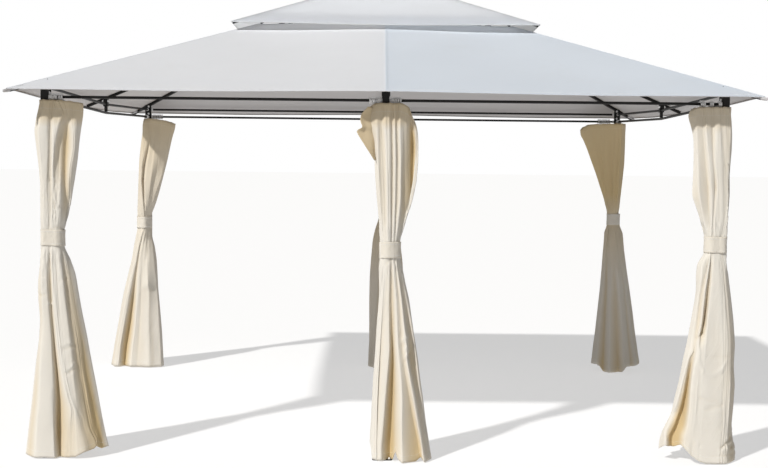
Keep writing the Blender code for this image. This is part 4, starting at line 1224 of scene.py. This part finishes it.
def pleatDepth(shape, z):
    low, high = tieEdges(shape)
    if z < low:
        start, spread = curtainCommon["pleatsBelow"]
        return start + spread * smooth((low - z) / (low * 0.9))
    rise = max(0.0, z - high) / (curtainCommon["topZ"] - high)
    start, belly, spread = curtainCommon["pleatsAbove"]
    return start + belly * math.sin(math.pi * min(1.0, rise)) + spread * rise


def seenCorners(folds, front, back, leftX, rightX):
    # the corners of the section on the seen side, one for each fold line
    clear, last = curtainCommon["postClear"], len(folds) - 1
    backLimit = max(p.y for p in back) - 0.02
    corners = [Vector((leftX, front[0].y))]
    for k in range(1, last):
        x, depth, here = folds[k]
        if here < 0.999:
            # a fold line that ends part of the way lies between its neighbours
            a = max(i for i in range(k) if folds[i][2] > 0.999 or i == 0)
            b = min(i for i in range(k + 1, last + 1) if folds[i][2] > 0.999 or i == last)
            share = (k - a) / (b - a)
            flatX = folds[a][0] + (folds[b][0] - folds[a][0]) * share
            flatDepth = folds[a][1] + (folds[b][1] - folds[a][1]) * share
            x, depth = flatX + (x - flatX) * here, flatDepth + (depth - flatDepth) * here
        place = Vector((x, min(heightOn(front, min(max(x, leftX), rightX)) + depth, backLimit)))
        if abs(place.x) < clear:
            place.y = min(place.y, -clear)
        corners.append(place)
    return corners + [Vector((rightX, front[-1].y))]


def sectionCorners(shape, pleats, seen, back, z):
    # once round the post: the seam, the first back pleats, the seen side, the last back pleats and the lap
    depth = pleatDepth(shape, z)
    behind = []
    for own, deep, drift in zip(pleats["shares"], pleats["depths"], pleats["drifts"]):
        place, out = alongLine(back, min(0.985, max(0.015, own + drift * (1.95 - z))))
        behind.append(clearOfPost(place - out * (depth * deep)))
    seamPlace, seamOut = alongLine(back, 0.5)
    lapPlace, lapOut = alongLine(back, 0.6)
    corners = [clearOfPost(seamPlace - seamOut * 0.005)] + [behind[i] for i in pleats["first"]] + seen
    corners += [behind[i] for i in pleats["last"]] + [clearOfPost(lapPlace + lapOut * 0.003)]
    if pleats["last"] and pleats["shares"][pleats["last"][-1]] > 0.5:
        corners[-2] = corners[-2] + lapOut * 0.004
    return corners


def wavePush(shape, u, z, free):
    # soft waves, fine upright lines, and crumples by the tie
    seed = shape["seed"]
    soft = noise.noise(Vector((u * 26, z * 3.1, seed * 1.7)))
    fine = noise.noise(Vector((u * 95, z * 4.5, seed * 0.9 + 4)))
    knot = 0.5 - abs(noise.noise(Vector((u * 60, z * 42, seed * 2.3))))
    near = math.exp(-((free - 0.05) / 0.07) ** 2)
    softSize, fineSize, knotSize = curtainCommon["waves"]
    return smooth(free / 0.06) * (softSize * soft + fineSize * fine + knotSize * near * knot)


def markedPush(push, shape, px, pz):
    # adds the crumpled patches and short creases of the seen side, placed in millimetres
    seed = shape["seed"]
    for cx, cz, halfX, halfZ, depth in shape["crumples"]:
        away = ((px - cx) / halfX) ** 2 + ((pz - cz) / halfZ) ** 2
        if away < 6:
            rough = 0.42 - abs(noise.noise(Vector((px * 0.045, pz * 0.085, seed)))) * 1.5
            rough += 0.5 * noise.noise(Vector((px * 0.10, pz * 0.20, seed + 8)))
            push += depth * 0.001 * rough * math.exp(-away)
    for ax, az, bx, bz, width, depth in shape["creases"]:
        if min(ax, bx) - 25 < px < max(ax, bx) + 25 and min(az, bz) - 25 < pz < max(az, bz) + 25:
            dx, dz = bx - ax, bz - az
            t = max(0.0, min(1.0, ((px - ax) * dx + (pz - az) * dz) / (dx * dx + dz * dz)))
            away = math.hypot(px - ax - t * dx, pz - az - t * dz)
            push -= depth * 0.001 * math.exp(-(away / width) ** 2)
    return push


def clothZ(shape, mm, z, isSeen):
    # the cloth droops between the rings at the top and follows its own hem line at the bottom
    lowest, droopFrom, hemFrom = (curtainCommon[key] for key in ("lowest", "droopFrom", "hemFrom"))
    placeZ = z
    if z > droopFrom:
        droop = lineValue(shape["droop"], mm) + 3.0 * abs(math.sin(mm * math.pi / 46 + shape["seed"]))
        placeZ -= droop * 0.001 * smooth((z - droopFrom) / 0.22)
    if z < hemFrom:
        hem = lineValue(shape["hemLine"], mm) * 0.001 + (0.0 if isSeen else 0.004)
        hem = max(lowest, hem + 0.002 * noise.noise(Vector((mm * 0.05, shape["seed"], 5))))
        placeZ += (hem - lowest) * ((hemFrom - z) / (hemFrom - lowest)) ** 1.5
    return placeZ


def reachIn(shape, point, z, front, leftX, rightX):
    # how far a point of the seen side lies behind the curtain's face, none at its two edges
    faceY = heightOn(front, min(max(point.x, leftX), rightX))
    if "pressed" in shape:
        faceY = max(faceY, lineValue(shape["pressed"], -z * 1000) * 0.001 - 0.08 * point.x)
    fromEdge = min(point.x - leftX, rightX - point.x)
    return (point.y - faceY) * min(1.0, max(0.0, (fromEdge - 0.004) / 0.022))


def makeCurtain(name, shape):
    size = curtainCommon
    post = Vector(postMiddle(name))
    low, high = tieEdges(shape)
    heights = [size["topZ"]]
    while heights[-1] - shape["rowStep"] > size["lowest"] + 0.004:
        heights.append(heights[-1] - shape["rowStep"])
    heights.append(size["lowest"])
    table = keyedFolds(shape, heights)
    pleats = drawPleats(shape, len(table))
    firstSeen, lastSeen = len(pleats["first"]) + 1, len(pleats["first"]) + len(table)
    edge = size["postClear"] + size["edgeClear"]
    rows, uvs, depths = [], [], []
    for level, z in enumerate(heights):
        leftX, rightX = (table[label][0][level] / 1000 for label in ("leftEdge", "rightEdge"))
        if rightX > 0:
            leftX = min(leftX, -edge)
        rightX = max(rightX, edge)
        front, back = hullLines(name, shape, z, leftX, rightX)
        folds = [(places[level] / 1000, inwards[level] / 1000, presence[level])
                 for places, inwards, presence in table.values()]
        seen = seenCorners(folds, front, back, leftX, rightX)
        corners = sectionCorners(shape, pleats, seen, back, z)
        line, owners = roundedLine(corners, size["ridgeRadius"], pleats["bellies"])
        along = [0.0, *accumulate((b - a).length for a, b in zip(line, line[1:]))]
        free = max(0.0, z - high, low - z)
        row, paintedShadeRow = [], []
        for j, point in enumerate(line):
            direction = (line[min(j + 1, len(line) - 1)] - line[max(j - 1, 0)]).normalized()
            isSeen = firstSeen - 0.5 <= owners[j] <= lastSeen + 0.5
            push = wavePush(shape, j / len(line), z, free)
            if isSeen:
                push = markedPush(push, shape, point.x * 1000, z * 1000)
            if z < size["lowest"] + size["hemTurn"] or z > size["topZ"] - size["headTurn"]:
                push += size["turnedCloth"]
            point = clearOfPost(point + Vector((direction.y, -direction.x)) * push)
            row.append(Vector((post.x + point.x, post.y + point.y, clothZ(shape, point.x * 1000, z, isSeen))))
            # painted shade: the deeper a point lies inside a fold, the more of the deep colour it takes
            inward = reachIn(shape, point, z, front, leftX, rightX) if isSeen else 0.0
            fromSeen = max(firstSeen - owners[j], owners[j] - lastSeen, 0)
            # painted shade where the roof's shadow falls, fading on the side away from the front
            paintedShadeShare = lineValue(shape.get("yellowingAndPaintedShade", size["yellowingAndPaintedShade"]), -z * 1000) * max(0.3, 1 - fromSeen / 5)
            paintedShadeRow.append(max(paintedShadeShare, min(1.0, inward / size["fullFoldShadeAt"])))
        rows.append(row)
        uvs.append([(length, z) for length in along])
        depths.append(paintedShadeRow)
    piece = gridSheet("curtain_cloth_" + name, rows[::-1], uvs[::-1], curtainFabric,
                      attribute="paintedFoldShade", values=depths[::-1])
    return piece, heights, rows


stitchPlaces, stitchFacings = [], []


def addStitches(line, spacing=0.009):
    # stitches along a line of points, at an even spacing
    walked, due = 0.0, spacing / 2
    for first, second in zip(line, line[1:]):
        length = (second - first).length
        while length > 1e-6 and due <= walked + length:
            stitchPlaces.append(first.lerp(second, (due - walked) / length))
            stitchFacings.append((second - first).normalized())
            due += spacing
        walked += length


def outwardLine(rowPoints, lift):
    moved = []
    for i, point in enumerate(rowPoints):
        along = rowPoints[min(i + 1, len(rowPoints) - 1)] - rowPoints[max(i - 1, 0)]
        out = Vector((along.y, -along.x, 0))
        moved.append(point + out.normalized() * lift if out.length > 1e-9 else point.copy())
    return moved


# The leading corner of the front middle curtain, turned out behind its left edge; leftLine is (height below zero,
# place) in millimetres, the rest is in metres
flapShape = {
    "top": 1.925, "bottom": 1.640, "right": -0.048, "leftY": -0.050, "rightY": -0.002, "shade": 0.75,
    "rows": 28, "columns": 16,
    "leftLine": ((-1925, -96), (-1900, -120), (-1880, -134), (-1850, -137), (-1822, -126), (-1812, -128),
                 (-1798, -158), (-1775, -148), (-1720, -112), (-1665, -76), (-1640, -60)),
}


def makeFlap(spec):
    rows, uvs = [], []
    for i in range(spec["rows"] + 1):
        share = i / spec["rows"]
        z = spec["top"] + (spec["bottom"] - spec["top"]) * share
        left = lineValue(spec["leftLine"], -z * 1000) * 0.001
        row = []
        for j in range(spec["columns"] + 1):
            across = j / spec["columns"]
            x = left + (spec["right"] - left) * across
            y = plan["post"][1] * -1 + spec["leftY"] + (spec["rightY"] - spec["leftY"]) * across
            y += 0.004 * math.sin(across * 5 + share * 2.5) + 0.002 * noise.noise(Vector((x * 40, z * 25, 1.5)))
            row.append(Vector((x, y, z)))
        rows.append(row)
        uvs.append([(point.x, z) for point in row])
    # painted shade over the whole turned-out corner
    shades = [[spec["shade"]] * len(row) for row in rows]
    return gridSheet("leadingCorner", rows[::-1], uvs[::-1], curtainFabric, attribute="paintedFoldShade", values=shades)


curtainPieces = {}
for name, shape in curtainShapes.items():
    piece, heights, sheetRows = makeCurtain(name, shape)
    if name == "front_middle":
        flap = makeFlap(flapShape)
        with bpy.context.temp_override(active_object=piece, selected_editable_objects=[piece, flap], object=piece):
            bpy.ops.object.join()
    thicken(piece, curtainCommon["thickness"])
    curtainPieces[name] = piece
    hemSeam = curtainCommon["lowest"] + curtainCommon["hemTurn"]
    headSeam = curtainCommon["topZ"] - curtainCommon["headTurn"]
    for seam in (hemSeam, headSeam):
        level = min(range(len(heights)), key=lambda i: abs(heights[i] - seam))
        addStitches(outwardLine(sheetRows[level], curtainCommon["stitchLift"]))
    print("curtain made:", name, "cloth area", round(meshArea(piece) / 2, 2), "faces", len(piece.data.polygons))


# Ties: a flat band round each waist, its end lapped over; start is the share of the way round where it begins
tieBand = {
    "height": 0.088, "thickness": 0.0016, "lift": 0.0008, "lap": 0.065, "lapLift": 0.0024, "start": 0.30,
    "columns": 150, "rows": 14, "edgeRoll": 0.0012, "pucker": 0.0016, "finePucker": 0.0009, "slant": 0.005,
    "stitchSpacing": 0.007, "stitchLift": 0.0021,
}


def makeTie(name, shape):
    post = Vector(postMiddle(name))
    clear = curtainCommon["postClear"] + curtainCommon["edgeClear"]
    folds, waist, seed = shape["folds"], shape["waistZ"], shape["seed"]
    leftX = min(betweenKeys(folds["leftEdge"], waist * 1000)[0] / 1000, -clear)
    rightX = max(betweenKeys(folds["rightEdge"], waist * 1000)[0] / 1000, clear)
    front, back = hullLines(name, shape, waist, leftX, rightX)
    loop = front[:-1] + back[:-1]
    closed = loop + [loop[0]]
    around = sum((b - a).length for a, b in zip(closed, closed[1:]))
    count = tieBand["columns"]
    rows, uvs = [], []
    for r in range(tieBand["rows"] + 1):
        share = r / tieBand["rows"]
        z = waist + (0.5 - share) * tieBand["height"]
        roll = tieBand["edgeRoll"] * (2 * share - 1) ** 4
        row, uvRow = [], []
        for j in range(count + int(tieBand["lap"] / around * count) + 1):
            turn = j / count
            place, out = alongLine(closed, (tieBand["start"] + turn) % 1.0)
            over = smooth((j - count + 6) / 8) * tieBand["lapLift"]
            pucker = tieBand["pucker"] * noise.noise(Vector((turn * 14, share * 2.0, seed)))
            pucker += tieBand["finePucker"] * noise.noise(Vector((turn * 40, share * 6, 1)))
            slant = tieBand["slant"] * noise.noise(Vector((turn * 3, seed * 0.37, 5.5)))
            point = post + place + out * (tieBand["lift"] + over + roll + max(-0.0004, pucker))
            row.append(Vector((point.x, point.y, z + slant)))
            uvRow.append((turn * around, z))
        rows.append(row)
        uvs.append(uvRow)
    piece = gridSheet("tie_cloth_" + name, rows[::-1], uvs[::-1], tieFabric)
    thicken(piece, tieBand["thickness"], offset=1.0)
    for level in (2, tieBand["rows"] - 2):
        addStitches(outwardLine(rows[level], tieBand["stitchLift"]), tieBand["stitchSpacing"])
    return piece, around


tiePieces, tieLengths = {}, {}
for name, shape in curtainShapes.items():
    tiePieces[name], tieLengths[name] = makeTie(name, shape)
print("ties made")


# Rings bunched beside the posts: along the long rail (x inwards, -x outwards) or the side rail (y), how many, and
# how far from the post's middle they start and end
ringRuns = {
    "radius": 0.0132, "wire": 0.0024, "eye": 0.0035, "tilt": 0.12, "swing": 0.10, "slip": 0.0006,
    "front_left": (("x", 9, 0.024, 0.068), ("x", 4, 0.078, 0.096), ("y", 9, 0.028, 0.090)),
    "front_middle": (("x", 9, 0.032, 0.082), ("-x", 5, 0.028, 0.050), ("-x", 6, 0.058, 0.088)),
    "front_right": (("x", 4, 0.022, 0.036), ("x", 4, 0.068, 0.086), ("x", 5, 0.112, 0.136), ("y", 9, 0.028, 0.090)),
    "back_right": (("x", 10, 0.060, 0.150), ("y", 9, 0.028, 0.090)),
    "back_middle": (("x", 7, 0.030, 0.080), ("-x", 7, 0.030, 0.080)),
    "back_left": (("x", 9, 0.030, 0.110), ("y", 9, 0.028, 0.090)),
}


def makeRings(spec):
    draw = random.Random(5)
    places, facings = [], []
    hang = spec["radius"] - spec["wire"] - plan["railRadius"]
    for name, signs in postPlaces.items():
        postX, postY = postMiddle(name)
        turnX, turnY = (-1 if sign > 0 else 1 for sign in signs)
        for axis, count, start, end in spec[name]:
            for i in range(count):
                away = start + (end - start) * i / max(count - 1, 1) + draw.uniform(-spec["slip"], spec["slip"])
                tilt = draw.uniform(-spec["tilt"], spec["tilt"])
                swing = draw.uniform(-spec["swing"], spec["swing"])
                z = plan["lowerRailZ"] - hang
                if axis == "y":
                    z -= plan["railSag"] * away / plan["post"][1]
                    places.append(Vector((postX, postY + turnY * away, z)))
                    facing = Vector((swing, 1, tilt))
                else:
                    places.append(Vector((postX + (turnX if axis == "x" else -turnX) * away, postY, z)))
                    facing = Vector((1, swing, tilt))
                facings.append(facing.normalized())
    values = {"Ring Radius": spec["radius"], "Wire Radius": spec["wire"], "Eye Radius": spec["eye"]}
    return scatter("curtain_rings", ringTree, values, places, facings, ringFinish)


ringPiece = makeRings(ringRuns)
print("rings made")


# Bolts on brackets, joints and feet: their size, and their places from the middle of a post
boltSizes = {
    "Head Width": 0.011, "Head Depth": 0.0045, "Stud Length": 0.004, "Washer Width": 0.016, "Washer Depth": 0.0014,
    "Random Turn": 1.05, "Seed": 4,
}
boltLayout = {
    "cornerHeights": (1.985, 2.041), "cornerAside": 0.009, "plate": 0.0026,
    "middleHeights": (1.9975, 2.036), "middleAside": 0.012, "saddleHalf": 0.0232,
    "footAside": 0.038, "footTop": 0.0052, "strutHeight": 2.012, "strutAside": 0.013, "strutHalf": 0.0142,
}


def placeBolts(spec):
    places, facings = [], []

    def put(place, facing):
        places.append(Vector(place))
        facings.append(Vector(facing).normalized())

    face = plan["postHalf"] + spec["plate"]
    aside, foot = spec["cornerAside"], spec["footAside"]
    for name, (signX, signY) in postPlaces.items():
        postX, postY = postMiddle(name)
        if signX:
            for z in spec["cornerHeights"]:
                put((postX - signX * aside, postY - signY * face, z), (0, -signY, 0))
                put((postX - signX * face, postY - signY * aside, z), (-signX, 0, 0))
        else:
            for z in spec["middleHeights"]:
                for side in (-1, 1):
                    put((side * spec["middleAside"], postY - signY * spec["saddleHalf"], z), (0, -signY, 0))
        for side in (-1, 1):
            for sign in (1, -1):
                put((postX + sign * side * foot, postY + side * foot, spec["footTop"]), (0, 0, 1))
    for side in (-1, 1):
        for y in (-spec["strutAside"], spec["strutAside"]):
            for sign in (-side, side):
                put((side * plan["post"][0] + sign * spec["strutHalf"], y, spec["strutHeight"]), (sign, 0, 0))
    return scatter("frame_bolts", boltTree, boltSizes, places, facings, boltFinish)


boltPiece = placeBolts(boltLayout)

# Corner bracket plates that wrap the inner faces of the corner posts
bracketPlate = {
    "width": 0.047, "thickness": 0.0024, "low": 1.948, "high": 2.058, "corner": 0.008, "cornerSteps": 5,
    "inset": 0.001, "gap": 0.0002, "edge": 0.0006,
}


def makeBrackets(spec):
    bm = bmesh.new()
    half = plan["postHalf"] + spec["gap"]
    width, height, corner = spec["width"], spec["high"] - spec["low"], spec["corner"]
    outline = [(0.0, 0.0)]
    for cz, first in ((corner, -90), (height - corner, 0)):
        for step in range(spec["cornerSteps"] + 1):
            angle = math.radians(first + step * 90 / spec["cornerSteps"])
            outline.append((width - corner + corner * math.cos(angle), cz + corner * math.sin(angle)))
    outline.append((0.0, height))
    for name, (signX, signY) in postPlaces.items():
        if not signX:
            continue
        post = Vector((*postMiddle(name), 0))
        inX, inY = Vector((-signX, 0, 0)), Vector((0, -signY, 0))
        for out, along in ((inX, inY), (inY, inX)):
            start = spec["inset"] - half
            addTube(bm, [
                [post + out * lift + along * (start + u) + Vector((0, 0, spec["low"] + v)) for u, v in outline]
                for lift in (half, half + spec["thickness"])])
    piece = bodyPiece("corner_brackets", bm, blackCoat)
    edge = piece.modifiers.new("soft edges", "BEVEL")
    edge.width, edge.segments, edge.limit_method = spec["edge"], 2, "ANGLE"
    applyModifiers(piece)
    return piece


bracketPiece = makeBrackets(bracketPlate)

# Collars where the rails enter the posts: lowerHalf and upperHalf are the half widths of the middle post's parts
collarLook = {
    "radius": 0.0102, "length": 0.015, "reach": 0.008, "lowerHalf": 0.019, "upperHalf": 0.023,
}


def makeCollars(spec):
    places, facings = [], []
    px, py = plan["post"]
    reach, half = spec["reach"], plan["postHalf"]
    for signY in (-1, 1):
        for z, middleHalf in ((plan["lowerRailZ"], spec["lowerHalf"]), (plan["upperRailZ"], spec["upperHalf"])):
            for side in (-1, 1):
                places.append(Vector((side * (middleHalf + reach), signY * py, z)))
                places.append(Vector((side * (px - half - reach), signY * py, z)))
                facings += [Vector((side, 0, 0)), Vector((-side, 0, 0))]
    drop = plan["railSag"] * (half + reach) / py
    for side in (-1, 1):
        for z in (plan["lowerRailZ"], plan["upperRailZ"]):
            for signY in (-1, 1):
                places.append(Vector((side * px, signY * (py - half - reach), z - drop)))
                facings.append(Vector((0, -signY, 0)))
    values = {"Collar Radius": spec["radius"], "Collar Length": spec["length"]}
    return scatter("rail_collars", collarTree, values, places, facings, blackCoat)


collarPiece = makeCollars(collarLook)


def mainRoofHeight(x, y):
    # height of the main roof's cloth over a place on plan
    folds = roofFolds()
    place = (x, y)
    for k, (eave, vent) in enumerate(folds):
        nextEave, nextVent = folds[(k + 1) % 8]
        # front and back panels rise along Y and span X, side panels the other way round
        up, over = (1, 0) if abs(eave.y - nextEave.y) < 1e-6 else (0, 1)
        if place[up] * eave[up] <= 0:
            continue
        rise = (abs(eave[up]) - abs(place[up])) / (abs(eave[up]) - abs(vent[up]))
        low, high = eave.lerp(vent, max(rise, 0)), nextEave.lerp(nextVent, max(rise, 0))
        across = (place[over] - low[over]) / (high[over] - low[over])
        if rise >= 0 and -0.001 <= across <= 1.001:
            hollow = math.sin(math.pi * across) ** 2
            sag = mainRoof["sag"] * math.sin(math.pi * rise) + mainRoof["eaveSag"] * (1 - rise) ** 2
            return low.lerp(high, across).z - hollow * sag
    return plan["cornerZ"]


# Two stitch lines on the hem of the main roof, and the thread of all stitches
hemStitches = {"insets": (0.022, 0.027), "spacing": 0.010, "lift": 0.0003, "pointsPerSide": 60}
threadSize = {"Stitch Length": 0.0058, "Thread Radius": 0.00045}

for inset in hemStitches["insets"]:
    ex, ey = plan["eave"][0] - inset, plan["eave"][1] - inset
    corners = [(-ex, -ey), (ex, -ey), (ex, ey), (-ex, ey)]
    line = []
    for (x0, y0), (x1, y1) in zip(corners, corners[1:] + corners[:1]):
        for i in range(hemStitches["pointsPerSide"]):
            share = i / hemStitches["pointsPerSide"]
            x, y = x0 + (x1 - x0) * share, y0 + (y1 - y0) * share
            line.append(Vector((x, y, mainRoofHeight(x, y) - mainRoof["weltHeight"] + hemStitches["lift"])))
    addStitches(line + line[:1], hemStitches["spacing"])
stitchPiece = scatter("sewing_stitches", stitchTree, threadSize, stitchPlaces, stitchFacings, threadFinish)
print("bolts, brackets, collars and", len(stitchPlaces), "stitches made")


# What each piece stands for
for piece, nodeName in ((mainSheet, "main_canopy"), (topSheet, "top_canopy")):
    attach(piece, "root")
    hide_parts(nodeName)
for name in curtainShapes:
    for piece, nodeName in ((curtainPieces[name], "curtain_" + name), (tiePieces[name], "tie_" + name)):
        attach(piece, "root")
        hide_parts(nodeName)
for piece in (ringPiece, boltPiece, bracketPiece, collarPiece, stitchPiece, pocketPiece):
    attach(piece, "root")
